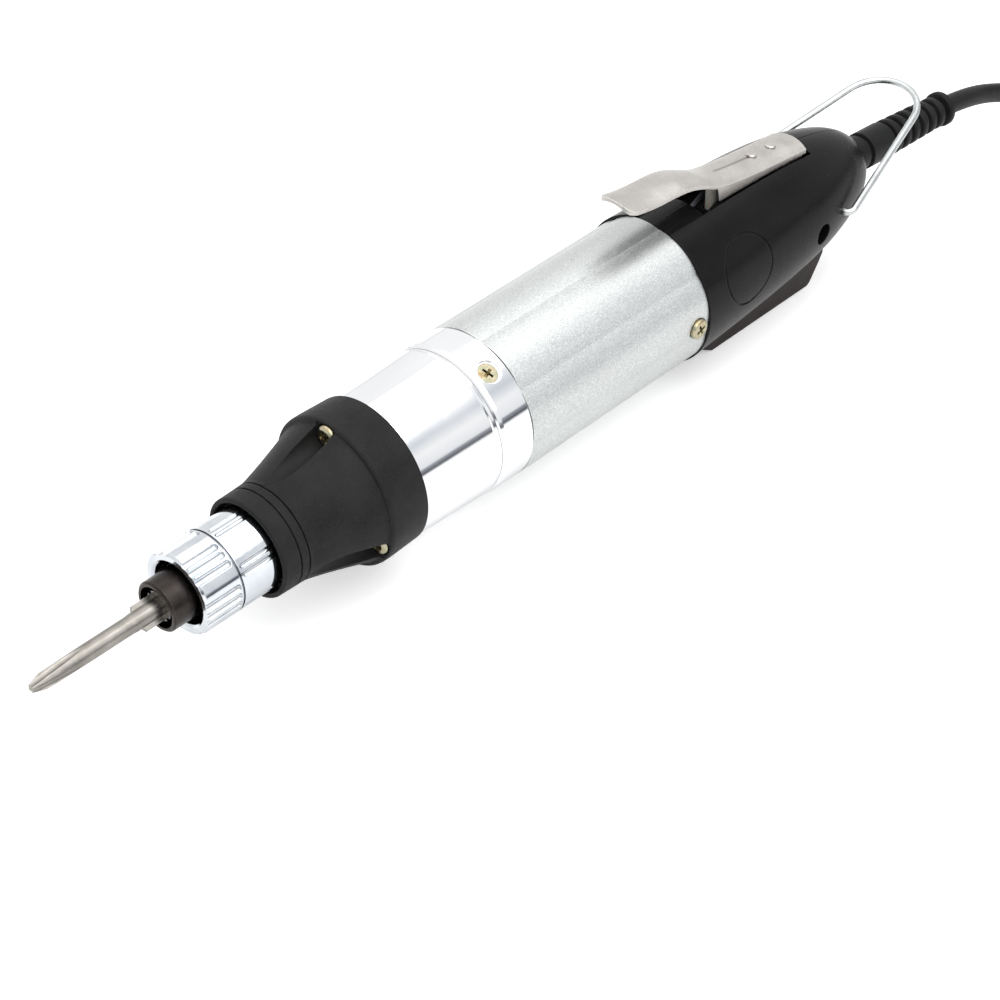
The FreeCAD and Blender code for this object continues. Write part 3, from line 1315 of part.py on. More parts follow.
def selector_switch():
    """Forward and reverse switch above the rocker's well, with a channel for the rocker's post."""
    z0 = selector_bottom_z()
    x0 = ROCKER_PIVOT_X - SELECTOR_LEN / 2
    body = block(x0, x0 + SELECTOR_LEN, -SELECTOR_W / 2, SELECTOR_W / 2, z0, z0 + SELECTOR_H)
    half_len = SELECTOR_POST / 2 + SELECTOR_TRAVEL + MOVE_GAP
    half_w = SELECTOR_POST_W / 2 + MOVE_GAP
    top = z0 + SELECTOR_POST_REACH + MOVE_GAP
    return body.cut(block(ROCKER_PIVOT_X - half_len, ROCKER_PIVOT_X + half_len, -half_w, half_w, z0 - 1, top))


# ================================================================ hanging bail
def bail():
    """Sprung wire loop; its feet turn in the shell's side holes."""
    foot = BAIL_FOOT_Y
    bend = BAIL_FOOT_BEND
    lean = bail_lean()
    bow_y = BAIL_BOW_R * math.cos(lean)
    bow_t = BAIL_BOW_T + BAIL_BOW_R * math.sin(lean)
    knee = tangent_offset(lean, bend)
    end = V(0, BAIL_END_Y, 0)
    before = V(0, foot - knee, 0)
    after = V(0, foot - knee * math.sin(lean), knee * math.cos(lean))
    middle = bend_middle(before, V(0, foot, 0), after, bend)
    right = [
        Part.makeLine(end, before),
        Part.Arc(before, middle, after).toShape(),
        Part.makeLine(after, V(0, bow_y, bow_t)),
    ]
    bow = Part.Arc(V(0, bow_y, bow_t), V(0, 0, BAIL_BOW_T + BAIL_BOW_R), V(0, -bow_y, bow_t)).toShape()
    left = [mirrored_edge(edge) for edge in reversed(right)]
    path = Part.Wire(Part.__sortEdges__(right + [bow] + left))
    circle = Part.Wire(Part.makeCircle(BAIL_WIRE_R, end, Y_AXIS))
    loop = path.makePipeShell([circle], True, False)
    loop.rotate(ORIGIN, Y_AXIS, 90 - BAIL_ANGLE)
    loop.translate(V(BAIL_PIVOT_X, 0, BAIL_PIVOT_Z))
    return loop


def bail_lean():
    """Angle by which each leg leans inwards, so that it runs into the bow without a kink."""
    reach = math.hypot(BAIL_FOOT_Y, BAIL_BOW_T)
    return math.atan2(BAIL_FOOT_Y, BAIL_BOW_T) - math.asin(BAIL_BOW_R / reach)


def tangent_offset(lean, radius):
    turn = math.pi / 2 + lean
    return radius * math.tan(turn / 2)


def bend_middle(before, corner, after, radius):
    """Middle point of the arc that rounds a corner."""
    to_centre = (before - corner) + (after - corner)
    to_centre.normalize()
    half_open = (before - corner).getAngle(after - corner) / 2
    centre = corner + to_centre * (radius / math.sin(half_open))
    return centre - to_centre * radius


def mirrored_edge(edge):
    return edge.mirror(ORIGIN, Y_AXIS)


# ================================================================ strain relief, cord, hank and plug
def along_boot(shape):
    """Place something made along x from the origin onto the drooping strain relief's axis."""
    shape.rotate(ORIGIN, Y_AXIS, BOOT_DROOP)
    shape.translate(V(BOOT_X, 0, BOOT_Z))
    return shape


def strain_relief():
    """Flexible boot: flange and neck in the shell, smooth collar, and a tapering stack of ribs."""
    profile = [
        (-4.6, 0), (-4.6, BOOT_FLANGE_R), (-2.6, BOOT_FLANGE_R), (-2.6, BOOT_NECK_R), (2.2, BOOT_NECK_R),
        (2.2, 4.3), (5.4, 4.3), (5.6, 3.7), (6.4, 3.7), (6.6, BOOT_R), (BOOT_RIB_START, BOOT_R),
    ]
    pitch = (BOOT_LEN - BOOT_RIB_START) / BOOT_RIBS
    for rib in range(BOOT_RIBS):
        u = BOOT_RIB_START + rib * pitch
        share = (rib + 1.0) / BOOT_RIBS
        r = BOOT_TIP_R
        if rib < BOOT_RIBS - 1:
            r = BOOT_R + (BOOT_LAST_R - BOOT_R) * share
        floor_r = BOOT_R + (BOOT_LAST_R - BOOT_R) * share - BOOT_RIB_DEPTH
        profile += [(u + 0.1, floor_r), (u + pitch * 0.4, floor_r), (u + pitch * 0.48, r - 0.25)]
        profile += [(u + pitch * 0.6, r), (u + pitch * 0.9, r), (u + pitch, r - 0.25)]
    socket_u = BOOT_LEN - CORD_SOCKET
    profile += [(BOOT_LEN, CORD_R + PIN_FIT), (socket_u, CORD_R + PIN_FIT), (socket_u, 0)]
    return along_boot(turned(profile))


def cord_start():
    u = BOOT_LEN - CORD_SOCKET
    a = math.radians(BOOT_DROOP)
    return V(BOOT_X + u * math.cos(a), 0, BOOT_Z - u * math.sin(a))


def route_wire(points, label):
    """Straight runs joined by tangent arcs as large as their runs allow."""
    edges = []
    here = points[0]
    length = 0.0
    for i in range(1, len(points) - 1):
        back = points[i - 1] - points[i]
        ahead = points[i + 1] - points[i]
        half_turn = (math.pi - back.getAngle(ahead)) / 2
        reach = 0.45 * min(back.Length, ahead.Length)
        radius = reach / math.tan(half_turn)
        print(label, "bend", i, "radius", round(radius, 1), "turn", round(math.degrees(2 * half_turn), 1))
        before = points[i] + back * (reach / back.Length)
        after = points[i] + ahead * (reach / ahead.Length)
        middle = bend_middle(before, points[i], after, radius)
        edges.append(Part.LineSegment(here, before).toShape())
        edges.append(Part.Arc(before, middle, after).toShape())
        here = after
    edges.append(Part.LineSegment(here, points[-1]).toShape())
    for edge in edges:
        length += edge.Length
    return Part.Wire(edges), length


def round_tube(points, label):
    wire, length = route_wire(points, label)
    heading = points[1] - points[0]
    circle = Part.Wire(Part.makeCircle(CORD_R, points[0], heading))
    tube = wire.makePipeShell([circle], True, False)
    expected = math.pi * CORD_R ** 2 * length
    print(label, "length", round(length, 1), "volume over section x length", round(tube.Volume / expected, 4))
    return tube


def cord_tube():
    end = V(HANK_X - HANK_LEAD, -HANK_R, CORD_LIE_Z)
    points = [cord_start()] + [V(*p) for p in CORD_ROUTE] + [end]
    return round_tube(points, "cord_tube")


def cord_tail():
    start = V(HANK_X + HANK_RUN + HANK_LEAD, -HANK_R, HANK_TOP_Z)
    end = V(PLUG_X, PLUG_Y, PLUG_Z)
    points = [start] + [V(*p) for p in TAIL_ROUTE] + [end]
    return round_tube(points, "cord_tail")


def hank_outline(radius, z):
    """Two straight runs joined by half circles."""
    x0, x1 = HANK_X, HANK_X + HANK_RUN
    return Part.Wire([
        Part.makeLine(V(x0, -radius, z), V(x1, -radius, z)),
        Part.Arc(V(x1, -radius, z), V(x1 + radius, 0, z), V(x1, radius, z)).toShape(),
        Part.makeLine(V(x1, radius, z), V(x0, radius, z)),
        Part.Arc(V(x0, radius, z), V(x0 - radius, 0, z), V(x0, -radius, z)).toShape(),
    ])


def cord_hank():
    """Outer shape of the folded hank, with the lead at each end that leaves it in line with its runs."""
    base_z = CORD_LIE_Z - CORD_R
    up = V(0, 0, HANK_TOP_Z + CORD_R - base_z)
    outer = Part.Face(hank_outline(HANK_R + CORD_R, base_z)).extrude(up)
    inner = Part.Face(hank_outline(HANK_R - CORD_R, base_z)).extrude(up)
    lead_r = CORD_R - PIN_FIT
    x1 = HANK_X + HANK_RUN
    first = Part.makeCylinder(lead_r, HANK_LEAD, V(HANK_X - HANK_LEAD, -HANK_R, CORD_LIE_Z), X_AXIS)
    last = Part.makeCylinder(lead_r, HANK_LEAD, V(x1, -HANK_R, HANK_TOP_Z), X_AXIS)
    return joined([outer.cut(inner), first, last])


def cord_tie():
    """Strap round the middle of the hank."""
    x0 = HANK_X + HANK_RUN / 2 - TIE_W / 2
    gap = 0.02
    half_w = HANK_R + CORD_R + gap
    low = CORD_LIE_Z - CORD_R - gap
    high = HANK_TOP_Z + CORD_R + gap
    outer = block(x0, x0 + TIE_W, -half_w - TIE_T, half_w + TIE_T, low - TIE_T, high + TIE_T)
    return outer.cut(block(x0 - 1, x0 + TIE_W + 1, -half_w, half_w, low, high))


def on_plug_axis(shape):
    shape.translate(V(PLUG_X, PLUG_Y, PLUG_Z))
    return shape


def plug_body():
    """Moulded grip of the round plug."""
    body_x = PLUG_TAIL_LEN
    end = PLUG_TAIL_LEN + PLUG_BODY_LEN
    body = turned([
        (0, 0), (0, PLUG_TAIL_R - 0.6), (body_x, PLUG_TAIL_R + 0.6), (body_x + 3, PLUG_BODY_R),
        (end - 1, PLUG_BODY_R), (end, PLUG_BODY_R - 1), (end, 0),
    ])
    for k in range(4):
        body = body.cut(ring(2 + k * 2.4, 3 + k * 2.4, 20, PLUG_TAIL_R - 1.0))
    return on_plug_axis(body)


def plug_shell():
    start = PLUG_TAIL_LEN + PLUG_BODY_LEN
    return on_plug_axis(ring(start, start + PLUG_SHELL_LEN, PLUG_SHELL_R, PLUG_SHELL_R - PLUG_SHELL_WALL))


def plug_contacts():
    """Insulating disc with the contact pins."""
    start = PLUG_TAIL_LEN + PLUG_BODY_LEN
    disc = ring(start, start + 1.4, PLUG_SHELL_R - PLUG_SHELL_WALL - SEAT_FIT)
    pins = []
    for k in range(PLUG_PINS):
        pin = Part.makeCylinder(PLUG_PIN_R, PLUG_PIN_LEN, V(start + 1.0, 0, PLUG_PIN_PCR), X_AXIS)
        pins.append(spun(pin, -90 + k * 180.0 / (PLUG_PINS - 1)))
    return on_plug_axis(joined([disc] + pins))


# ================================================================ assembly
def front_pieces():
    return {
        "barrel": barrel(),
        "barrel_screws": barrel_screws(),
        "clamp_ring": clamp_ring(),
        "ring_screws": ring_screws(),
        "front_tube": front_tube(),
        "nose_cone": nose_cone(),
        "nose_screws": nose_screws(),
        "torque_knob": torque_knob(),
        "knob_bush": knob_bush(),
        "bit": bit(),
        "spindle": spindle(),
        "lock_balls": lock_balls(),
        "bit_collar": bit_collar(),
        "collar_clip": collar_clip(),
        "collar_spring": collar_spring(),
    }


def drive_pieces():
    pieces = {
        "spring_seat": spring_seat(),
        "torque_spring": torque_spring(),
        "clutch_plate": clutch_plate(),
        "clutch_balls": clutch_balls(),
        "clutch_driver": clutch_driver(),
        "ring_gear": ring_gear(),
        "first_carrier": first_carrier(),
        "gear_plate": gear_plate(),
        "motor_can": motor_can(),
        "motor_end_cap": motor_end_cap(),
        "motor_bushes": motor_bushes(),
        "magnets": magnets(),
        "armature_shaft": armature_shaft(),
        "pinion": pinion(),
        "armature_core": armature_core(),
        "windings": windings(),
        "commutator": commutator(),
        "brushes": brushes(),
    }
    for stage, name in ((1, "first"), (2, "second")):
        for index in range(PLANETS):
            pieces["%s_planet_%d" % (name, index + 1)] = planet(stage, index)
    return pieces


def handle_pieces():
    whole = shell_whole()
    return {
        "shell_left": shell_half(whole, -1),
        "shell_right": shell_half(whole, 1),
        "shell_screw": shell_screw(),
        "lever": lever(),
        "lever_pin": lever_pin(),
        "lever_rivets": lever_rivets(),
        "lever_leaf_spring": lever_leaf_spring(),
        "switch_pusher": switch_pusher(),
        "start_switch": start_switch(),
        "rocker": rocker(),
        "rocker_pins": rocker_pins(),
        "selector_switch": selector_switch(),
        "bail": bail(),
    }


def cord_pieces():
    return {
        "strain_relief": strain_relief(),
        "cord_tube": cord_tube(),
        "cord_hank": cord_hank(),
        "cord_tie": cord_tie(),
        "cord_tail": cord_tail(),
        "plug_body": plug_body(),
        "plug_shell": plug_shell(),
        "plug_contacts": plug_contacts(),
    }


def build():
    nodes = {}
    for group in (front_pieces(), drive_pieces(), handle_pieces(), cord_pieces()):
        nodes.update(group)
    return nodes


def boot_end_x():
    a = math.radians(BOOT_DROOP)
    return BOOT_X + BOOT_LEN * math.cos(a) + BOOT_TIP_R * math.sin(a)


def main():
    os.makedirs("parts", exist_ok=True)
    middle_x = (BIT_TIP_X + boot_end_x()) / 2
    print("axis height", -ROCKER_BOTTOM_Z, "origin at x", round(middle_x, 3))
    for name, shape in build().items():
        placed = shape.copy()
        placed.translate(V(-middle_x, 0, -ROCKER_BOTTOM_Z))
        if not placed.isValid():
            print("INVALID", name)
        print(name, "solids", len(placed.Solids), "volume", round(placed.Volume, 1))
        placed.exportStep(os.path.join("parts", name + ".step"))


main()
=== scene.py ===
# %% [markdown]
# # A corded electric torque screwdriver
#
# This notebook dresses an engineering model of a slim electric screwdriver for a product picture. The
# model comes in as a fixed frame: every node is already at its real size and place, in metres. What is
# added here is what a workshop adds last: finishes, screw heads with a cross recess, soft light on
# metal, and the cord.

# %% Load the frame
import bpy
import bmesh
import json
import math
from mathutils import Matrix, Vector


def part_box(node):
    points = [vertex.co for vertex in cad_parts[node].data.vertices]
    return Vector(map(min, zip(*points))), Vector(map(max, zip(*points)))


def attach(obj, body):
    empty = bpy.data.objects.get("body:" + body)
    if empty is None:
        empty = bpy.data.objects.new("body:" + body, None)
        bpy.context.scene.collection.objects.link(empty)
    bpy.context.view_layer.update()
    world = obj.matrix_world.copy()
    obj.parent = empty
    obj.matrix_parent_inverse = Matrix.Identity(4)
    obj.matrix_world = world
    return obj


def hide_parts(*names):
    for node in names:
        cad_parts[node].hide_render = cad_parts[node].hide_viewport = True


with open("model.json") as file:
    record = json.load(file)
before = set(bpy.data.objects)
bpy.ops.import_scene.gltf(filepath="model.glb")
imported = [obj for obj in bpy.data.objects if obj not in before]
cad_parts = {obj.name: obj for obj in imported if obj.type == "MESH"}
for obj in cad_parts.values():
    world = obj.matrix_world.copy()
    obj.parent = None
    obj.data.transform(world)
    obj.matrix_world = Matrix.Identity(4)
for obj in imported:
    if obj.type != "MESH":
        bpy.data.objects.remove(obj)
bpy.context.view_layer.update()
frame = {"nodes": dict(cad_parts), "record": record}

NODES = frame["nodes"]

# %% [markdown]
# ## Finding our way on the tool
#
# The tool is long and round, so its own axis is the handiest ruler. `at` takes millimetres along that
# axis from the barrel's front edge, millimetres across and millimetres up from the axis, and gives the
# place in the frame. `turn` is the matrix that carries a piece modelled at the world's origin, standing
# on +Z, to a place on the tool's round side. Its angle starts at the top and grows towards the side
# with the handle's screw.

# %% A ruler along the tool's axis
MM = 0.001
BARREL_LOW, BARREL_HIGH = [Vector(corner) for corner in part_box("barrel")]
BARREL_X = BARREL_LOW.x
AXIS_Z = (BARREL_LOW.z + BARREL_HIGH.z) / 2


def at(along, across=0.0, up=0.0):
    """A place in the frame, from millimetres along, across and up from the axis."""
    return Vector((BARREL_X + along * MM, across * MM, AXIS_Z + up * MM))


def turn(along, radius, degrees):
    """The matrix to a place `radius` from the axis, with +Z pointing outwards."""
    outwards = Matrix.Rotation(math.radians(degrees), 4, "X")
    return Matrix.Translation(at(along)) @ outwards @ Matrix.Translation((0, 0, radius * MM))


print("axis height", round(AXIS_Z / MM, 2), "mm")

# %% [markdown]
# ## The camera
#
# The camera stands in front of the bit's end, to the screw's side, and looks down by about forty
# degrees through a long lens, so the far end of the tool hardly shrinks. A camera looks along its own
# minus Z, so the matrix is built from the right, up and backward directions.

# %% Camera
CAMERA_AT = at(-314.1, -304.6, 342.5)
CAMERA_RIGHT = Vector((0.6866, -0.7270, 0.0)).normalized()
CAMERA_FORWARD = Vector((0.5553, 0.5244, -0.6454)).normalized()
FOCAL_LENGTH = 93.6
FILM_WIDTH = 36.0

lens = bpy.data.cameras.new("camera")
lens.lens = FOCAL_LENGTH
lens.sensor_width = FILM_WIDTH
lens.clip_start = 0.01
lens.clip_end = 20.0
camera = bpy.data.objects.new("camera", lens)
bpy.context.scene.collection.objects.link(camera)
camera_up = CAMERA_RIGHT.cross(CAMERA_FORWARD)
axes = Matrix((CAMERA_RIGHT, camera_up, -CAMERA_FORWARD)).transposed()
camera.matrix_world = Matrix.Translation(CAMERA_AT) @ axes.to_4x4()
bpy.context.scene.camera = camera
print("camera", [round(v, 3) for v in CAMERA_AT])

# %% [markdown]
# ## The cord's line
#
# A flexible cord is one smooth spline. Its control points are the route that the engineering model
# uses: straight out of the strain relief, down to the table, along it, into a tied hank, and out to the
# plug. A hank is a cord folded back and forth. Its turns are worked out by a loop, with six points to a
# fold. A spline cuts inside its control points, so those points stand a little outside the fold.

# %% The cord's points
CORD_R = 2.5
CORD_LIE = -18.4
BOOT_DROOP = math.radians(5.0)
BOOT_STEM = 37.1
BOOT_START = (129.0, 0.8)
ROUTE = [
    (180.0, 0.0, -3.662),
    (201.0, 0.0, -11.9),
    (216.0, -5.4, CORD_LIE),
    (233.0, -16.0, CORD_LIE),
    (250.3, -16.0, CORD_LIE),
]
HANK_X = 263.5
HANK_RUN = 60.0
HANK_R = 16.0
HANK_TURNS = 5
HANK_PITCH = 5.1
FOLD_ANGLES = (-75, -45, -15, 15, 45, 75)
HANK_TOP = CORD_LIE + HANK_TURNS * HANK_PITCH
TAIL = [
    (336.7, -16.0, HANK_TOP),
    (355.4, -16.0, HANK_TOP),
    (384.5, -12.0, -14.1),
    (403.2, -12.0, -14.1),
]

exit_along = BOOT_START[0] + BOOT_STEM * math.cos(BOOT_DROOP)
exit_up = BOOT_START[1] - BOOT_STEM * math.sin(BOOT_DROOP)
CORD_EXIT = at(exit_along, 0.0, exit_up)


def hank_points():
    """Places along the folded hank, which climbs a cord's width in each turn."""
    outside = HANK_R / math.cos(math.radians(FOLD_ANGLES[-1] - FOLD_ANGLES[-2]) / 2)
    way = 2 * (HANK_RUN + math.pi * HANK_R)
    points = [(HANK_X, -HANK_R, 0.0), (HANK_X + HANK_RUN, -HANK_R, HANK_RUN)]
    for angle in FOLD_ANGLES:
        a = math.radians(angle)
        gone = HANK_RUN + HANK_R * (a + math.pi / 2)
        points.append((HANK_X + HANK_RUN + outside * math.cos(a), outside * math.sin(a), gone))
    points.append((HANK_X + HANK_RUN, HANK_R, way / 2))
    points.append((HANK_X, HANK_R, way / 2 + HANK_RUN))
    for angle in FOLD_ANGLES:
        a = math.radians(angle)
        gone = way / 2 + HANK_RUN + HANK_R * (a + math.pi / 2)
        points.append((HANK_X - outside * math.cos(a), -outside * math.sin(a), gone))
    turns = [(x, y, turn_no + gone / way) for turn_no in range(HANK_TURNS) for x, y, gone in points]
    turns += [(HANK_X, -HANK_R, HANK_TURNS), (HANK_X + HANK_RUN, -HANK_R, HANK_TURNS)]
    return [at(x, y, CORD_LIE + HANK_PITCH * t) for x, y, t in turns]


CORD_POINTS = [CORD_EXIT] + [at(*p) for p in ROUTE] + hank_points() + [at(*p) for p in TAIL]
print("control points", len(CORD_POINTS))

# %% [markdown]
# ## From a line to a cord
# The order of the spline and its clamped ends are set after its points are added, because set before,
# they fall back to straight runs. The bare curve is made into a mesh and removed again at once. With a
# bevel it becomes a tube, which is then made a mesh, so that its box is the true one.

# %% Cord
LINE_STEPS = 6
CORD_ROUNDNESS = 5
CORD_SMOOTH = math.radians(40)


def spline_object(name):
    """A clamped smooth spline through space, steered by the cord's points."""
    curve = bpy.data.curves.new(name, "CURVE")
    curve.dimensions = "3D"
    spline = curve.splines.new("NURBS")
    spline.points.add(len(CORD_POINTS) - 1)
    for slot, point in zip(spline.points, CORD_POINTS):
        slot.co = (point.x, point.y, point.z, 1.0)
    spline.order_u = 3
    spline.use_endpoint_u = True
    spline.resolution_u = LINE_STEPS
    line = bpy.data.objects.new(name, curve)
    bpy.context.scene.collection.objects.link(line)
    return line


def only(piece):
    """Selects one piece and nothing else, so that an operator acts on it alone."""
    bpy.ops.object.select_all(action="DESELECT")
    piece.select_set(True)
    bpy.context.view_layer.objects.active = piece


cord = spline_object("cord")
bare = bpy.data.meshes.new_from_object(cord.evaluated_get(bpy.context.evaluated_depsgraph_get()))
bpy.data.meshes.remove(bare)
cord.data.bevel_depth = CORD_R * MM
cord.data.bevel_resolution = CORD_ROUNDNESS
cord.data.use_fill_caps = True
only(cord)
bpy.ops.object.convert(target="MESH")
cord = bpy.context.object
bpy.ops.object.shade_smooth_by_angle(angle=CORD_SMOOTH)
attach(cord, "base")
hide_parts("cord_tube", "cord_hank", "cord_tail")

# %% [markdown]
# ## Screws with a cross recess
#
# Nine small screws hold the tool together, and their heads are among the first things that catch the
# eye. A head is turned on a lathe and its cross is punched. Here the head starts as a short cylinder,
# its rim is bevelled to a dome, its underside is inset and drawn out to the shank, and two crossed
# wedges are cut from its face. One screw is modelled at the origin and copied, each copy with a mesh of
# its own.

# %% Helpers for modelling in edit mode
LEVEL = 0.99


def pick(piece, wanted):
    """In edit mode, selects the faces for which `wanted` is true, and nothing else."""
    bpy.ops.mesh.select_mode(type="FACE")
    bpy.ops.mesh.select_all(action="DESELECT")
    shape = bmesh.from_edit_mesh(piece.data)
    for face in shape.faces:
        face.select_set(wanted(face))
    bmesh.update_edit_mesh(piece.data)


def faces_up(face):
    return face.normal.z > LEVEL


def faces_down(face):
    return face.normal.z < -LEVEL


def grow(factor):
    """Scales what is selected across Z, about its own middle."""
    bpy.ops.transform.resize(value=(factor, factor, 1.0))


print("edit helpers ready")


# %% Two wedges that cut the cross
OVERSHOOT = 0.0003
CROSS_TAPER = (0.35, 0.6, 1.0)


def cross_cutters(width, blade, depth, top):
    """Two crossed wedges that narrow downwards and stand a little over the height `top`."""
    blades = []
    for degrees in (0, 90):
        bpy.ops.object.select_all(action="DESELECT")
        bpy.ops.mesh.primitive_cube_add(size=1.0, location=(0, 0, top - depth / 2 + OVERSHOOT / 2))
        wedge = bpy.context.object
        wedge.scale = (width, blade, depth + OVERSHOOT)
        wedge.rotation_euler.z = math.radians(degrees)
        bpy.ops.object.mode_set(mode="EDIT")
        pick(wedge, faces_down)
        bpy.ops.transform.resize(value=CROSS_TAPER, center_override=(0, 0, 0))
        bpy.ops.object.mode_set(mode="OBJECT")
        bpy.ops.object.transform_apply(location=True, rotation=True, scale=True)
        blades.append(wedge)
    return blades


def cut(piece, tool):
    """Takes the tool's shape out of the piece and removes the tool."""
    only(piece)
    modifier = piece.modifiers.new("cut", "BOOLEAN")
    modifier.operation = "DIFFERENCE"
    modifier.solver = "EXACT"
    modifier.object = tool
    bpy.ops.object.modifier_apply(modifier=modifier.name)
    bpy.data.objects.remove(tool)


print("cross cutters ready")

# %% One screw
HEAD_SIDES = 40
DOME_STEPS = 6
DOME_FULLNESS = 0.6
CROSS_WIDTH = 1.25
CROSS_BLADE = 0.3
CROSS_DEPTH = 0.62
SMOOTH_BELOW = math.radians(32)


def screw(name, head_r, head_h, shank_r, shank_len, cone_h=0.0, dome=0.55):
    """A cross-recessed screw on +Z, sized in millimetres: its head's seat is at zero, the shank goes down.

    The cross is sized by the head's radius, and `dome` is the part of the head's height that is rounded.
    """
    bpy.ops.object.select_all(action="DESELECT")
    bpy.ops.mesh.primitive_cylinder_add(vertices=HEAD_SIDES, radius=head_r * MM, depth=head_h * MM,
                                        location=(0, 0, head_h / 2 * MM))
    piece = bpy.context.object
    piece.name = name
    bpy.ops.object.transform_apply(location=True, rotation=True, scale=True)
    bpy.ops.object.mode_set(mode="EDIT")
    pick(piece, faces_up)
    bpy.ops.mesh.bevel(offset=dome * head_h * MM, segments=DOME_STEPS, profile=DOME_FULLNESS, affect="EDGES")
    pick(piece, faces_down)
    if cone_h:
        bpy.ops.mesh.extrude_region_move(TRANSFORM_OT_translate={"value": (0, 0, -cone_h * MM)})
        grow(shank_r / head_r)
    else:
        bpy.ops.mesh.inset(thickness=(head_r - shank_r) * MM, depth=0)
    bpy.ops.mesh.extrude_region_move(TRANSFORM_OT_translate={"value": (0, 0, -shank_len * MM)})
    bpy.ops.object.mode_set(mode="OBJECT")
    unit = head_r * MM
    for blade in cross_cutters(CROSS_WIDTH * unit, CROSS_BLADE * unit, CROSS_DEPTH * unit, head_h * MM):
        cut(piece, blade)
    only(piece)
    bpy.ops.object.shade_smooth_by_angle(angle=SMOOTH_BELOW)
    return piece


print("screw maker ready")


# %% Copies of a screw
def place_screws(name, pattern, places, body, node):
    """Copies a screw to each place, joins the copies and lets them stand for the CAD node."""
    copies = []
    for place in places:
        copy = pattern.copy()
        copy.data = pattern.data.copy()
        copy.data.transform(place)
        bpy.context.scene.collection.objects.link(copy)
        copies.append(copy)
    bpy.ops.object.select_all(action="DESELECT")
    for copy in copies:
        copy.select_set(True)
    bpy.context.view_layer.objects.active = copies[0]
    if len(copies) > 1:
        bpy.ops.object.join()
    group = bpy.context.view_layer.objects.active
    group.name = name
    bpy.data.objects.remove(pattern)
    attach(group, body)
    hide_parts(node)
    print(name, len(places), "screws,", len(group.data.polygons), "faces")
    return group


SPUN = Matrix.Rotation(math.radians(20), 4, "Z")
print("crosses are turned by 20 degrees")

# %% The barrel's two pan-head screws
BARREL_SCREW_ALONG = 53.4
BARREL_SEAT_R = 17.3
barrel_screw = screw("barrel_screw", head_r=2.45, head_h=1.5, shank_r=1.25, shank_len=5.5)
barrel_places = [turn(BARREL_SCREW_ALONG, BARREL_SEAT_R, degrees) @ SPUN for degrees in (90, -90)]
barrel_screw_heads = place_screws("barrel_screw_heads", barrel_screw, barrel_places, "base", "barrel_screws")

# %% [markdown]
# The ring's screws are countersunk and sit a little below its polished surface. The screws of the nose
# lie along the tool, in scooped pockets, so their matrix turns +Z to point forwards. Their heads are
# tall, so that a driver reaches them from the front.

# %% The ring's countersunk screws
RING_R = (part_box("clamp_ring")[1][1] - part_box("clamp_ring")[0][1]) / 2 / MM
RING_SCREW_ALONG = -4.25
RING_SCREW_DROP = 0.7
RING_HEAD_H = 0.35
ring_screw = screw("ring_screw", head_r=2.3, head_h=RING_HEAD_H, shank_r=1.25, shank_len=2.2, cone_h=1.05,
                   dome=0.4)
ring_seat_r = RING_R - RING_SCREW_DROP - RING_HEAD_H
ring_places = [turn(RING_SCREW_ALONG, ring_seat_r, degrees) @ SPUN for degrees in (30, 150, 270)]
ring_screw_heads = place_screws("ring_screw_heads", ring_screw, ring_places, "base", "ring_screws")

# %% The nose's three screws
FORWARDS = Matrix.Rotation(math.radians(-90), 4, "Y")
NOSE_SCREW_ALONG = -37.5
NOSE_SCREW_R = 14.2
nose_screw = screw("nose_screw", head_r=2.5, head_h=4.4, shank_r=1.25, shank_len=10.3, dome=0.3)
nose_places = [turn(NOSE_SCREW_ALONG, NOSE_SCREW_R, degrees) @ FORWARDS @ SPUN for degrees in (-5, 115, 235)]
nose_screw_heads = place_screws("nose_screw_heads", nose_screw, nose_places, "base", "nose_screws")

# %% [markdown]
# The screw that joins the handle's two shells lies across the tool. Its head sits deep in a counterbore
# near the bail's eye, and its matrix turns +Z towards the near side.

# %% The handle's screw
SIDEWAYS = Matrix.Rotation(math.radians(90), 4, "X")
HANDLE_SEAT = at(101.0, -9.2, 0.5)
handle_screw = screw("handle_screw", head_r=2.3, head_h=1.6, shank_r=1.2, shank_len=16.0)
handle_place = Matrix.Translation(HANDLE_SEAT) @ SIDEWAYS @ SPUN
handle_screw_head = place_screws("handle_screw_head", handle_screw, [handle_place], "base", "shell_screw")

# %% [markdown]
# ## Tools for making a finish
#
# A finish is a small tree of nodes round one shader. Real surfaces are never one flat colour: plating
# has haze, paint has flakes, mouldings have grain, and every edge is rubbed. The helpers below add a
# node and feed its sockets, and give the four things that nearly every finish needs: a noise of a
# given size in millimetres, a colour ramp, a range, and a bump. All of them read the object's own
# coordinates, so a pattern stays on its piece when the piece moves.

# %% Nodes and sockets
def feed(owner, socket, value):
    """Links a socket to a socket, or sets it to a plain value."""
    if isinstance(value, bpy.types.NodeSocket):
        owner.node_tree.links.new(value, socket)
    else:
        socket.default_value = value


def add_node(owner, kind, **inputs):
    """A new node with its sockets fed; an underscore in a name stands for a space."""
    node = owner.node_tree.nodes.new(kind)
    for name, value in inputs.items():
        feed(owner, node.inputs[name.replace("_", " ")], value)
    return node


def finish(name, **constants):
    """A new material; its constants go to the shader's own sockets."""
    paint = bpy.data.materials.new(name)
    paint.use_nodes = True
    for socket, value in constants.items():
        paint.node_tree.nodes["Principled BSDF"].inputs[socket.replace("_", " ")].default_value = value
    return paint


def wire(paint, **links):
    """Feeds the shader's sockets from other nodes."""
    for socket, value in links.items():
        feed(paint, paint.node_tree.nodes["Principled BSDF"].inputs[socket.replace("_", " ")], value)


print("node helpers ready")


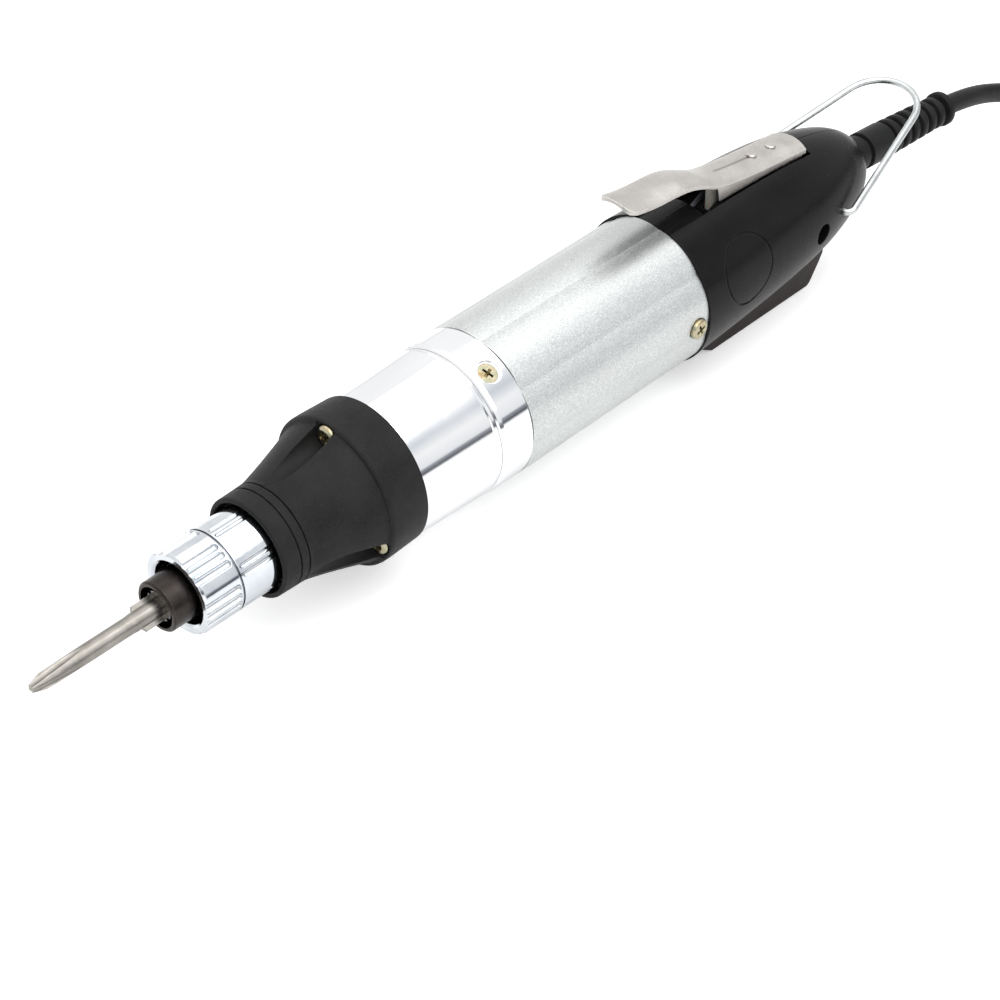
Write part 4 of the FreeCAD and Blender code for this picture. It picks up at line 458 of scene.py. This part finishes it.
# %% Patterns measured in millimetres
def place_in(paint, size, long=(1, 1, 1)):
    """The object's own coordinates, scaled so that one unit is `size` millimetres."""
    spot = add_node(paint, "ShaderNodeTexCoord")
    scale = [1.0 / (size * MM * stretch) for stretch in long]
    return add_node(paint, "ShaderNodeMapping", Vector=spot.outputs["Object"], Scale=scale).outputs["Vector"]


def noise(paint, size, long=(1, 1, 1), detail=2.0, rough=0.5):
    """A cloudy value from 0 to 1 with spots of about `size` millimetres, stretched by `long`."""
    cloud = add_node(paint, "ShaderNodeTexNoise", Vector=place_in(paint, size, long), Scale=1.0,
                     Detail=detail, Roughness=rough)
    return cloud.outputs[0]


def cells(paint, size):
    """Distance from the middle of irregular cells, for grain, dust and leather."""
    mosaic = add_node(paint, "ShaderNodeTexVoronoi", Vector=place_in(paint, size), Scale=1.0)
    return mosaic.outputs["Distance"]


print("pattern helpers ready")


# %% Ramps, ranges, sums and bumps
def ramp(paint, value, *stops):
    """Colours along a value: each stop is a place from 0 to 1 and a colour."""
    node = add_node(paint, "ShaderNodeValToRGB", Fac=value)
    elements = node.color_ramp.elements
    while len(elements) < len(stops):
        elements.new(0.5)
    for element, (place, colour) in zip(elements, stops):
        element.position = place
        element.color = (*colour, 1.0)
    return node.outputs["Color"]


def span(paint, value, low, high, start=0.3, end=0.7):
    """Goes from `low` to `high` while the value goes from `start` to `end`."""
    return add_node(paint, "ShaderNodeMapRange", Value=value, From_Min=start, From_Max=end,
                    To_Min=low, To_Max=high).outputs["Result"]


def reckon(owner, operation, first, second):
    """One sum with two values."""
    node = owner.node_tree.nodes.new("ShaderNodeMath")
    node.operation = operation
    feed(owner, node.inputs[0], first)
    feed(owner, node.inputs[1], second)
    return node.outputs["Value"]


def bump(paint, height, strength, depth, under=None):
    """A bump of `depth` millimetres, over another normal if one is given."""
    node = add_node(paint, "ShaderNodeBump", Height=height, Strength=strength, Distance=depth * MM)
    if under is not None:
        feed(paint, node.inputs["Normal"], under)
    return node.outputs["Normal"]


def mixed(paint, factor, first, second):
    """The first colour where the factor is 0, the second where it is 1."""
    node = paint.node_tree.nodes.new("ShaderNodeMix")
    node.data_type = "RGBA"
    feed(paint, node.inputs[0], factor)
    feed(paint, node.inputs[6], first if isinstance(first, bpy.types.NodeSocket) else (*first, 1.0))
    feed(paint, node.inputs[7], second if isinstance(second, bpy.types.NodeSocket) else (*second, 1.0))
    return node.outputs[2]


print("finish helpers ready")

# %% [markdown]
# Real edges are never razor sharp. The Bevel node gives the normal that the surface would have if its
# edges were rounded, and where that normal leaves the true one there is an edge. `soft_edge` uses the
# first to catch light on plating, and `edge_rub` the second to rub paint and oxide away.

# %% Helpers for edges
EDGE_RAYS = 6


def soft_edge(paint, radius):
    """The normal that the surface would have with its edges rounded to `radius` millimetres."""
    node = add_node(paint, "ShaderNodeBevel", Radius=radius * MM)
    node.samples = EDGE_RAYS
    return node.outputs["Normal"]


def edge_rub(paint, radius, patchy):
    """Near 1 on outside and inside edges, broken up by a noise."""
    true = add_node(paint, "ShaderNodeNewGeometry").outputs["Normal"]
    node = add_node(paint, "ShaderNodeVectorMath")
    node.operation = "DOT_PRODUCT"
    feed(paint, node.inputs[0], soft_edge(paint, radius))
    feed(paint, node.inputs[1], true)
    sharp = span(paint, node.outputs["Value"], 1.0, 0.0, 0.86, 0.97)
    return reckon(paint, "MULTIPLY", sharp, patchy)


# Painted shade: a mask for darkening grooves and recesses in a colour.
def painted_hollow_shade(paint, reach, low, high):
    """Near 1 in grooves and recesses within `reach` millimetres, which the finishes darken as painted shade.
    """
    node = add_node(paint, "ShaderNodeAmbientOcclusion", Distance=reach * MM)
    node.samples = EDGE_RAYS
    return span(paint, node.outputs["AO"], 1.0, 0.0, low, high)


FINISHES = {}


def keep(slot, paint):
    """Puts a finish in the table under its slot's name."""
    FINISHES[slot] = paint
    print(slot, "is", paint.name, "with", len(paint.node_tree.nodes), "nodes")


print("edge helpers ready")

# %% [markdown]
# ## Chrome of the torque knob
#
# The knob is cast zinc under bright chrome. Chrome mirrors almost everything, so what makes it look
# real is small: the softened edges of its grooves, slow waves left by the casting, and a faint haze.
# The grooves are also painted darker, as painted shade.

# %% Chrome
KNOB_GROOVE_SHADE_REACH = 1.1


def chrome():
    paint = finish("bright_chrome", Metallic=1.0)
    haze = noise(paint, 5.0, detail=4.0)
    plate = ramp(paint, haze, (0.35, (0.62, 0.66, 0.705)), (0.65, (0.74, 0.765, 0.79)))
    # Painted shade: the knob's grooves are darkened towards a dark blue-grey.
    grooves = painted_hollow_shade(paint, KNOB_GROOVE_SHADE_REACH, 0.35, 0.97)
    wire(paint, Base_Color=mixed(paint, grooves, plate, (0.12, 0.13, 0.15)))
    wire(paint, Roughness=span(paint, haze, 0.05, 0.12))
    waves = bump(paint, noise(paint, 3.2, detail=1.0), 0.16, 0.06, under=soft_edge(paint, 0.22))
    wire(paint, Normal=bump(paint, noise(paint, 0.35, detail=2.0), 0.05, 0.02, under=waves))
    return paint


keep("chrome", chrome())


# %% [markdown]
# ## Polished aluminium of the front tube and its ring
#
# The tube is turned and then buffed. Buffing leaves rings too fine to see one by one, which stretch a
# reflection round the tube. A noise that is very short along the axis and long round it does that.

# %% Polished aluminium
SCREW_HOLE_SHADE_REACH = 0.7
BUFFING = (1, 60, 60)
HANDLING = (1, 12, 12)


def polished_aluminium():
    paint = finish("buffed_aluminium", Metallic=1.0)
    cloud = noise(paint, 9.0, long=(3, 1, 1), detail=3.0)
    bright = ramp(paint, cloud, (0.3, (0.86, 0.875, 0.895)), (0.7, (0.93, 0.935, 0.945)))
    # Painted shade: screw holes and other recesses are darkened towards grey.
    hole_shade = painted_hollow_shade(paint, SCREW_HOLE_SHADE_REACH, 0.2, 0.75)
    wire(paint, Base_Color=mixed(paint, hole_shade, bright, (0.20, 0.20, 0.20)))
    wire(paint, Roughness=span(paint, cloud, 0.07, 0.12))
    rings = noise(paint, 0.12, long=BUFFING, detail=3.0)
    scuffs = noise(paint, 0.5, long=HANDLING, detail=4.0, rough=0.7)
    buffed = bump(paint, rings, 0.035, 0.012, under=soft_edge(paint, 0.15))
    wire(paint, Normal=bump(paint, scuffs, 0.03, 0.02, under=buffed))
    return paint


keep("polished_aluminium", polished_aluminium())


# %% [markdown]
# ## Silver paint of the barrel
#
# The barrel is an extrusion under satin silver paint. The paint is full of aluminium flakes, about a
# third of a millimetre across, that sparkle one by one. One fine noise gives each spot its brightness,
# its polish and its slight tilt. At the two cut ends the paint is thin, and bare metal shines through.

# %% Silver paint
FLAKE = 0.34


def silver_paint():
    paint = finish("satin_silver_paint", Metallic=0.85)
    flakes = noise(paint, FLAKE, detail=3.0, rough=0.75)
    cloud = noise(paint, 16.0, detail=3.0)
    base = ramp(paint, flakes, (0.28, (0.42, 0.44, 0.44)), (0.5, (0.60, 0.62, 0.615)),
                (0.72, (0.84, 0.855, 0.845)))
    dirt_and_shade = mixed(paint, span(paint, cloud, 0.0, 0.16), base, (0.45, 0.46, 0.45))
    rubbed = edge_rub(paint, 0.35, span(paint, noise(paint, 0.9, detail=3.0), 0.2, 1.0, 0.42, 0.58))
    wire(paint, Base_Color=mixed(paint, rubbed, dirt_and_shade, (0.90, 0.90, 0.89)))
    wire(paint, Roughness=span(paint, flakes, 0.36, 0.50))
    wire(paint, Normal=bump(paint, flakes, 0.35, 0.035, under=soft_edge(paint, 0.2)))
    return paint


keep("silver_paint", silver_paint())


# %% [markdown]
# ## Black mouldings
#
# The handle is glossy black plastic. Its gloss shows a faint orange-peel ripple, hair-fine scratches
# and a few specks of dust. The nose is the same colour with a leathery spark-eroded grain, and the
# rocker is browner, because it is moulded from another batch.

# %% Gloss black handle
def black_moulding():
    paint = finish("gloss_black_moulding", Specular_IOR_Level=0.09)
    cloud = noise(paint, 14.0, detail=3.0)
    dust = span(paint, cells(paint, 5.0), 0.5, 0.0, 0.016, 0.028)
    base = ramp(paint, cloud, (0.3, (0.0066, 0.0062, 0.0066)), (0.7, (0.0105, 0.0098, 0.0102)))
    rubbed = edge_rub(paint, 0.3, span(paint, noise(paint, 1.4, detail=3.0), 0.0, 0.5))
    worn = mixed(paint, rubbed, base, (0.05, 0.05, 0.052))
    wire(paint, Base_Color=mixed(paint, dust, worn, (0.16, 0.155, 0.15)))
    scratches = noise(paint, 0.5, long=(24, 1.4, 1.4), detail=4.0, rough=0.7)
    wire(paint, Roughness=span(paint, scratches, 0.23, 0.29))
    peel = bump(paint, noise(paint, 1.3, detail=2.0), 0.1, 0.025, under=soft_edge(paint, 0.3))
    wire(paint, Normal=bump(paint, scratches, 0.03, 0.008, under=peel))
    return paint


keep("black_moulding", black_moulding())


# %% Grained mouldings
LEATHER = 1.9
PALE_GRAIN = 1.8
PALE_EDGE = 2.6


def grained_moulding(name, dark, light, size, rough_low, rough_high):
    """Spark-eroded plastic with a grain of `size` millimetres over a coarser leather."""
    paint = finish(name, Specular_IOR_Level=0.13)
    cloud = noise(paint, 7.0, detail=5.0, rough=0.6)
    grain = noise(paint, size, detail=3.0, rough=0.65)
    leather = cells(paint, size * LEATHER)
    base = ramp(paint, cloud, (0.32, dark), (0.7, light))
    pale = mixed(paint, span(paint, grain, 0.0, 0.5, 0.5, 0.75), base, [v * PALE_GRAIN for v in light])
    rubbed = edge_rub(paint, 0.35, span(paint, noise(paint, 1.1, detail=3.0), 0.0, 0.8))
    wire(paint, Base_Color=mixed(paint, rubbed, pale, [v * PALE_EDGE for v in light]))
    wire(paint, Roughness=span(paint, grain, rough_low, rough_high))
    creased = bump(paint, leather, 0.45, 0.09, under=soft_edge(paint, 0.3))
    wire(paint, Normal=bump(paint, grain, 0.4, 0.06, under=creased))
    return paint


keep("nose_moulding", grained_moulding("grained_black_nose", (0.0100, 0.0100, 0.0102),
                                       (0.0185, 0.0180, 0.0176), 0.38, 0.44, 0.62))
keep("rocker_moulding", grained_moulding("brown_grey_rocker", (0.022, 0.0178, 0.0172),
                                         (0.036, 0.030, 0.029), 0.3, 0.34, 0.5))
keep("switch_plastic", grained_moulding("switch_plastic", (0.018, 0.018, 0.018),
                                        (0.03, 0.03, 0.03), 0.2, 0.4, 0.55))


# %% [markdown]
# ## Steels
#
# Most metal pieces are steel that differs in colour, in polish and in the direction in which it was
# worked. One function makes them all: `lay` stretches its fine lines along the direction of work,
# and a slow noise adds stains. A second colour shows where edges are rubbed.

# %% Worked steel
ROUND_X = (1, 30, 30)
ALONG_X = (40, 1, 1)
ALL_WAYS = (1.5, 1.5, 1.5)
DARK_LINE = 0.72
RUB_REACH = 2.2
RUB_LIGHT = 1.25
BRIGHTEST = 0.95


def steel(name, dark, light, rough, lay, line=0.12, lines=0.12, rub=None, edge=0.12):
    """Steel between two colours; `line` is the size of its lines and `lines` how strong they are."""
    paint = finish(name, Metallic=1.0)
    stain = noise(paint, 4.5, detail=4.0, rough=0.6)
    streaks = noise(paint, line, long=lay, detail=3.0, rough=0.6)
    base = ramp(paint, stain, (0.3, dark), (0.68, light))
    fine = mixed(paint, span(paint, streaks, 0.0, 0.35), base, [v * DARK_LINE for v in dark])
    rubbed = edge_rub(paint, RUB_REACH * edge, span(paint, noise(paint, 0.8, detail=3.0), 0.25, 0.9))
    bare = rub or [min(v * RUB_LIGHT, BRIGHTEST) for v in light]
    wire(paint, Base_Color=mixed(paint, rubbed, fine, bare))
    wire(paint, Roughness=span(paint, streaks, rough * 0.8, rough * 1.25))
    wire(paint, Normal=bump(paint, streaks, lines, 0.03, under=soft_edge(paint, edge)))
    return paint


keep("dark_steel", steel("black_oxide", (0.034, 0.029, 0.027), (0.058, 0.050, 0.046), 0.3, ROUND_X,
                         rub=(0.22, 0.20, 0.19)))
keep("bit_steel", steel("bit_steel", (0.25, 0.235, 0.212), (0.37, 0.35, 0.322), 0.3, ALONG_X, lines=0.16))
keep("spindle_steel", steel("blued_ground_steel", (0.10, 0.095, 0.09), (0.19, 0.18, 0.175), 0.24, ROUND_X))
keep("spring_steel", steel("blued_spring_steel", (0.06, 0.06, 0.07), (0.12, 0.12, 0.13), 0.3, ALL_WAYS))
keep("bail_wire", steel("bright_zinc_wire", (0.50, 0.52, 0.52), (0.70, 0.72, 0.72), 0.26, ALL_WAYS,
                        line=0.5, lines=0.1))
keep("motor_steel", steel("zinc_plated_sheet", (0.52, 0.53, 0.53), (0.66, 0.67, 0.66), 0.32, ROUND_X,
                          line=0.3))
keep("nickel_shell", steel("nickel_plate", (0.58, 0.575, 0.55), (0.72, 0.715, 0.69), 0.22, ROUND_X,
                           line=0.2))

# %% [markdown]
# ## The lever's sheet
#
# The start lever is stainless sheet, brushed along its length. The press tool left one straight line
# along the middle of its top, in front of the rivets. Object coordinates say where that line is: it is
# a narrow band round the plane in the middle, faded in and out along the tool. The line is bumped in and
# also painted darker, as painted shade. The lever's inside, its recesses and the faces that look
# inwards, is painted near black as painted shade. A face looks inwards where its normal and its place
# have opposite signs across the tool.

# %% Brushed lever
LEVER_BRUSHING = (14, 1, 1)
LINE_FRONT = BARREL_X / MM + 78.0
LINE_REAR = BARREL_X / MM + 91.2
LINE_HALF_W = 0.42
LEVER_SHADE_REACH = 7.0


def pressed_line(paint, spot):
    """1 on the pressed line and 0 elsewhere."""
    aside = reckon(paint, "ABSOLUTE", spot.outputs["Y"], 0.0)
    middle = span(paint, aside, 1.0, 0.0, 0.1, LINE_HALF_W)
    begun = span(paint, spot.outputs["X"], 0.0, 1.0, LINE_FRONT, LINE_FRONT + 0.8)
    ended = span(paint, spot.outputs["X"], 1.0, 0.0, LINE_REAR - 0.4, LINE_REAR)
    return reckon(paint, "MULTIPLY", middle, reckon(paint, "MULTIPLY", begun, ended))


def looking_inwards(paint, spot):
    """1 on faces that look towards the middle of the lever, which it paints dark as painted shade."""
    facing = add_node(paint, "ShaderNodeNewGeometry").outputs["Normal"]
    sideways = add_node(paint, "ShaderNodeSeparateXYZ", Vector=facing).outputs["Y"]
    inwards = reckon(paint, "MULTIPLY", sideways, spot.outputs["Y"])
    return span(paint, inwards, 1.0, 0.0, -1.2, -0.3)


def lever_sheet():
    paint = steel("brushed_stainless", (0.50, 0.477, 0.445), (0.64, 0.615, 0.585), 0.34, LEVER_BRUSHING,
                  line=0.16, lines=0.14, rub=(0.93, 0.92, 0.90), edge=0.2)
    shader = paint.node_tree.nodes["Principled BSDF"]
    plain = shader.inputs["Base Color"].links[0].from_socket
    brushed = shader.inputs["Normal"].links[0].from_socket
    spot = add_node(paint, "ShaderNodeSeparateXYZ", Vector=place_in(paint, 1.0))
    crease = pressed_line(paint, spot)
    # Painted shade: the pressed line is darkened in colour, besides its bump below.
    creased = mixed(paint, reckon(paint, "MULTIPLY", crease, 0.55), plain, (0.16, 0.13, 0.11))
    # Painted shade: the lever's recesses and inward-looking faces are darkened to near black.
    lever_hollow_shade = painted_hollow_shade(paint, LEVER_SHADE_REACH, 0.3, 0.6)
    dirt_and_shade = reckon(paint, "MAXIMUM", looking_inwards(paint, spot), lever_hollow_shade)
    wire(paint, Base_Color=mixed(paint, dirt_and_shade, creased, (0.02, 0.019, 0.018)))
    wire(paint, Normal=bump(paint, crease, 1.0, -0.25, under=brushed))
    return paint


keep("stainless", lever_sheet())

# %% [markdown]
# ## Yellow-passivated screws
#
# Zinc-plated screws get a thin chromate film, which shimmers from straw to green and rose. The colour
# drifts slowly over each head. The cross recess is painted a dark brown, as painted shade.

# %% Screws
RECESS_SHADE_REACH = 0.5


def zinc_screw():
    paint = finish("yellow_zinc", Metallic=1.0)
    drift = noise(paint, 1.8, detail=2.0)
    film = ramp(paint, drift, (0.3, (0.36, 0.28, 0.15)), (0.48, (0.52, 0.46, 0.32)),
                (0.6, (0.36, 0.36, 0.24)), (0.75, (0.56, 0.51, 0.40)))
    # Painted shade: the cross recess is darkened towards a dark brown.
    recess = painted_hollow_shade(paint, RECESS_SHADE_REACH, 0.15, 0.8)
    wire(paint, Base_Color=mixed(paint, recess, film, (0.12, 0.085, 0.04)))
    speckle = noise(paint, 0.16, detail=3.0)
    wire(paint, Roughness=span(paint, speckle, 0.2, 0.34))
    wire(paint, Normal=bump(paint, speckle, 0.14, 0.015, under=soft_edge(paint, 0.12)))
    return paint


keep("zinc_screw", zinc_screw())


# %% [markdown]
# ## Plain plastics and soft PVC
#
# The cord, its strain relief and the plug's body are black PVC: it has a dull sheen, fine drag marks
# from the die along the cord, and dust. Natural nylon is milky, so it lets a little light in.

# %% Soft PVC
def cord_pvc():
    paint = finish("black_pvc", Specular_IOR_Level=0.14)
    cloud = noise(paint, 6.0, detail=4.0, rough=0.6)
    drag = noise(paint, 0.3, long=(10, 1, 1), detail=3.0)
    base = ramp(paint, cloud, (0.3, (0.0070, 0.0074, 0.0077)), (0.7, (0.0125, 0.0125, 0.0128)))
    dusty = span(paint, noise(paint, 0.5, detail=4.0, rough=0.7), 0.0, 0.10, 0.56, 0.8)
    wire(paint, Base_Color=mixed(paint, dusty, base, (0.075, 0.075, 0.074)))
    wire(paint, Roughness=span(paint, drag, 0.36, 0.5))
    wire(paint, Normal=bump(paint, drag, 0.16, 0.03, under=soft_edge(paint, 0.35)))
    return paint


keep("cord_pvc", cord_pvc())


# %% Nylon
def white_nylon():
    paint = finish("natural_nylon", Subsurface_Weight=0.15, Subsurface_Scale=0.0008, Specular_IOR_Level=0.45)
    cloud = noise(paint, 2.5, detail=4.0)
    wire(paint, Base_Color=ramp(paint, cloud, (0.3, (0.72, 0.69, 0.61)), (0.7, (0.82, 0.80, 0.74))))
    wire(paint, Roughness=span(paint, noise(paint, 0.2), 0.38, 0.5))
    skin = noise(paint, 0.25, detail=3.0)
    wire(paint, Normal=bump(paint, skin, 0.1, 0.02, under=soft_edge(paint, 0.15)))
    return paint


keep("white_nylon", white_nylon())


# %% [markdown]
# ## Inside the tool
#
# Nobody sees the motor and the gears until the tool is opened, but they get their own finishes too.
# The laminated core shows its sheets as fine dark lines across the axis, the windings show their
# enamelled turns, and the ferrite and carbon pieces are dull and grainy.

# %% Laminations and windings
WAVE_RATE = 20


def striped(name, width, dark, light, metallic, rough):
    """Stripes across the tool's axis, each `width` millimetres wide. A wave turns by 20 radians a unit."""
    paint = finish(name, Metallic=metallic)
    wave = add_node(paint, "ShaderNodeTexWave", Vector=place_in(paint, width * WAVE_RATE / math.pi),
                    Scale=1.0, Distortion=0.15, Detail=2.0)
    lines = wave.outputs["Fac"]
    tint = noise(paint, 3.0, detail=3.0)
    base = ramp(paint, lines, (0.2, dark), (0.6, light))
    wire(paint, Base_Color=mixed(paint, span(paint, tint, 0.0, 0.4), base, [v * 0.8 for v in light]))
    wire(paint, Roughness=span(paint, tint, rough * 0.85, rough * 1.2))
    wire(paint, Normal=bump(paint, lines, 0.4, 0.05))
    return paint


keep("lamination", striped("core_laminations", 0.5, (0.10, 0.10, 0.11), (0.34, 0.34, 0.35), 1.0, 0.42))
keep("copper", striped("enamelled_copper", 0.32, (0.30, 0.11, 0.05), (0.76, 0.36, 0.18), 0.9, 0.3))


# %% Pressed powders
def sintered(name, dark, light, metallic, rough):
    """A dull, grainy pressed piece: ferrite, carbon, bronze or sintered steel."""
    paint = finish(name, Metallic=metallic)
    grain = cells(paint, 0.22)
    cloud = noise(paint, 2.4, detail=4.0, rough=0.65)
    base = ramp(paint, cloud, (0.3, dark), (0.7, light))
    pores = span(paint, grain, 0.35, 0.0, 0.1, 0.4)
    wire(paint, Base_Color=mixed(paint, pores, base, [v * 0.5 for v in dark]))
    wire(paint, Roughness=span(paint, cloud, rough * 0.85, rough * 1.15))
    wire(paint, Normal=bump(paint, grain, 0.25, 0.03, under=soft_edge(paint, 0.1)))
    return paint


keep("gear_steel", sintered("sintered_steel", (0.36, 0.36, 0.37), (0.50, 0.50, 0.51), 1.0, 0.38))
keep("bronze", sintered("sintered_bronze", (0.50, 0.35, 0.17), (0.68, 0.50, 0.28), 1.0, 0.4))
keep("magnet", sintered("ferrite", (0.05, 0.05, 0.055), (0.09, 0.09, 0.095), 0.0, 0.6))
keep("carbon", sintered("brush_carbon", (0.02, 0.02, 0.02), (0.045, 0.045, 0.046), 0.1, 0.5))


# %% [markdown]
# ## One finish for each slot
#
# The record names a slot for every node, and the table now holds a finish for each slot. Each CAD node
# and each new piece takes the finish of its slot.

# %% Dressing every piece
def dress(piece, slot):
    """Gives a piece the finish of its slot and no other."""
    piece.data.materials.clear()
    piece.data.materials.append(FINISHES[slot])


for part in frame["record"]["subparts"]:
    dress(NODES[part["node"]], part["material_slot"])
for piece in (barrel_screw_heads, ring_screw_heads, nose_screw_heads, handle_screw_head):
    dress(piece, "zinc_screw")
dress(cord, "cord_pvc")
print(len(FINISHES), "finishes on", len(NODES), "nodes")

# %% [markdown]
# ## The table and the room
#
# The floor is pale paper that runs out of the picture. What a camera, a mirror or glass sees of it is
# lifted to white by a little light of its own, and the part that lamps light keeps the tool's shadow.
# The room does the same: it lights the tool evenly, and mirrors see a white ceiling above a narrow
# dark band at the horizon, as in a studio whose white table ends in a darker room.

# %% Floor
FLOOR_SIZE = 8.0
FLOOR_GAP = 0.0002
bpy.ops.object.select_all(action="DESELECT")
bpy.ops.mesh.primitive_plane_add(size=FLOOR_SIZE, location=(0, 0, -FLOOR_GAP))
floor = bpy.context.object
floor.name = "floor"
print("floor of", FLOOR_SIZE, "m")


# %% White paper
def in_mirror(owner, path):
    """1 for rays from a mirror or through glass."""
    return reckon(owner, "MAXIMUM", path.outputs["Is Glossy Ray"], path.outputs["Is Transmission Ray"])


PAPER_GLOW = 0.40
PAPER_GLOW_IN_MIRROR = 0.08
paper = finish("pale_paper", Roughness=0.9)
fibres = noise(paper, 2.0, detail=3.0)
wire(paper, Base_Color=ramp(paper, fibres, (0.3, (0.86, 0.86, 0.86)), (0.7, (0.88, 0.88, 0.88))))
paper_rays = add_node(paper, "ShaderNodeLightPath")
for_camera = reckon(paper, "MULTIPLY", paper_rays.outputs["Is Camera Ray"], PAPER_GLOW)
for_mirror = reckon(paper, "MULTIPLY", in_mirror(paper, paper_rays), PAPER_GLOW_IN_MIRROR)
lift = reckon(paper, "MAXIMUM", for_camera, for_mirror)
glow = add_node(paper, "ShaderNodeEmission", Color=(1, 1, 1, 1), Strength=lift)
both = paper.node_tree.nodes.new("ShaderNodeAddShader")
feed(paper, both.inputs[0], paper.node_tree.nodes["Principled BSDF"].outputs["BSDF"])
feed(paper, both.inputs[1], glow.outputs["Emission"])
feed(paper, paper.node_tree.nodes["Material Output"].inputs["Surface"], both.outputs["Shader"])
floor.data.materials.append(paper)
print("paper floor")

# %% The even light
EVEN_LIGHT = 0.78
world = bpy.data.worlds.new("studio")
bpy.context.scene.world = world
world.use_nodes = True
even = world.node_tree.nodes["Background"]
even.inputs["Color"].default_value = (1.0, 1.0, 1.0, 1.0)
even.inputs["Strength"].default_value = EVEN_LIGHT
print("even light of", EVEN_LIGHT)

# %% [markdown]
# ## What mirrors see
#
# A mirror shows its room, so chrome and polished tube need one. The ramp below goes from the horizon, 0,
# to straight up, 1. The dark end of the room is a thin band on the horizon, a grey wall stands above
# it, then come white screens with a soft grey gap between them. The far side is plain white.

# %% The room in a mirror
heading = add_node(world, "ShaderNodeTexCoord").outputs["Generated"]
parts = add_node(world, "ShaderNodeSeparateXYZ", Vector=heading)
height = span(world, parts.outputs["Z"], 0.0, 1.0, 0.0, 1.0)
room = ramp(world, height,
            (0.0, (0.08, 0.085, 0.10)),
            (0.04, (0.08, 0.085, 0.10)),
            (0.05, (0.22, 0.23, 0.26)),
            (0.10, (0.26, 0.27, 0.30)),
            (0.13, (0.86, 0.87, 0.89)),
            (0.40, (0.98, 0.98, 0.98)),
            (0.60, (0.66, 0.69, 0.73)),
            (0.76, (1.0, 1.0, 1.0)))
far_side = span(world, parts.outputs["Y"], 0.0, 1.0, -0.25, 0.15)
mirrored = mixed(world, far_side, room, (1.0, 1.0, 1.0))
seen_in_mirror = add_node(world, "ShaderNodeBackground", Color=mirrored, Strength=1.0)
print("room with a dark horizon for mirrors")

# %% Which rays see what
white = add_node(world, "ShaderNodeBackground", Color=(1, 1, 1, 1), Strength=1.0)
rays = add_node(world, "ShaderNodeLightPath")


def either(factor, first, second):
    """Two backgrounds: the first where the factor is 0, the second where it is 1."""
    node = world.node_tree.nodes.new("ShaderNodeMixShader")
    feed(world, node.inputs[0], factor)
    feed(world, node.inputs[1], first)
    feed(world, node.inputs[2], second)
    return node.outputs["Shader"]


lit = either(in_mirror(world, rays), even.outputs["Background"], seen_in_mirror.outputs["Background"])
shown = either(rays.outputs["Is Camera Ray"], lit, white.outputs["Background"])
feed(world, world.node_tree.nodes["World Output"].inputs["Surface"], shown)
print("white background")

# %% [markdown]
# ## Lamps
#
# Two large softboxes are enough. The key hangs over the near side and draws the long highlights of the
# barrel, and the second, behind and above, lights the lever and the handle's top.

# %% Softboxes
def softbox(name, place, target, width, height, power):
    """A square-cornered lamp that faces its target."""
    light = bpy.data.lights.new(name, "AREA")
    light.shape = "RECTANGLE"
    light.size = width
    light.size_y = height
    light.energy = power
    lamp = bpy.data.objects.new(name, light)
    bpy.context.scene.collection.objects.link(lamp)
    lamp.location = place
    lamp.rotation_euler = (target - place).to_track_quat("-Z", "Y").to_euler()
    return lamp


MIDDLE = at(20)
softbox("key", at(-60, -350, 620), MIDDLE, width=0.9, height=0.9, power=3.6)
softbox("top", at(120, 120, 700), MIDDLE, width=1.2, height=0.9, power=2.6)
bpy.context.scene.view_settings.view_transform = "Standard"
print("two softboxes")

# %% [markdown]
# ## The end


bpy.context.view_layer.update()
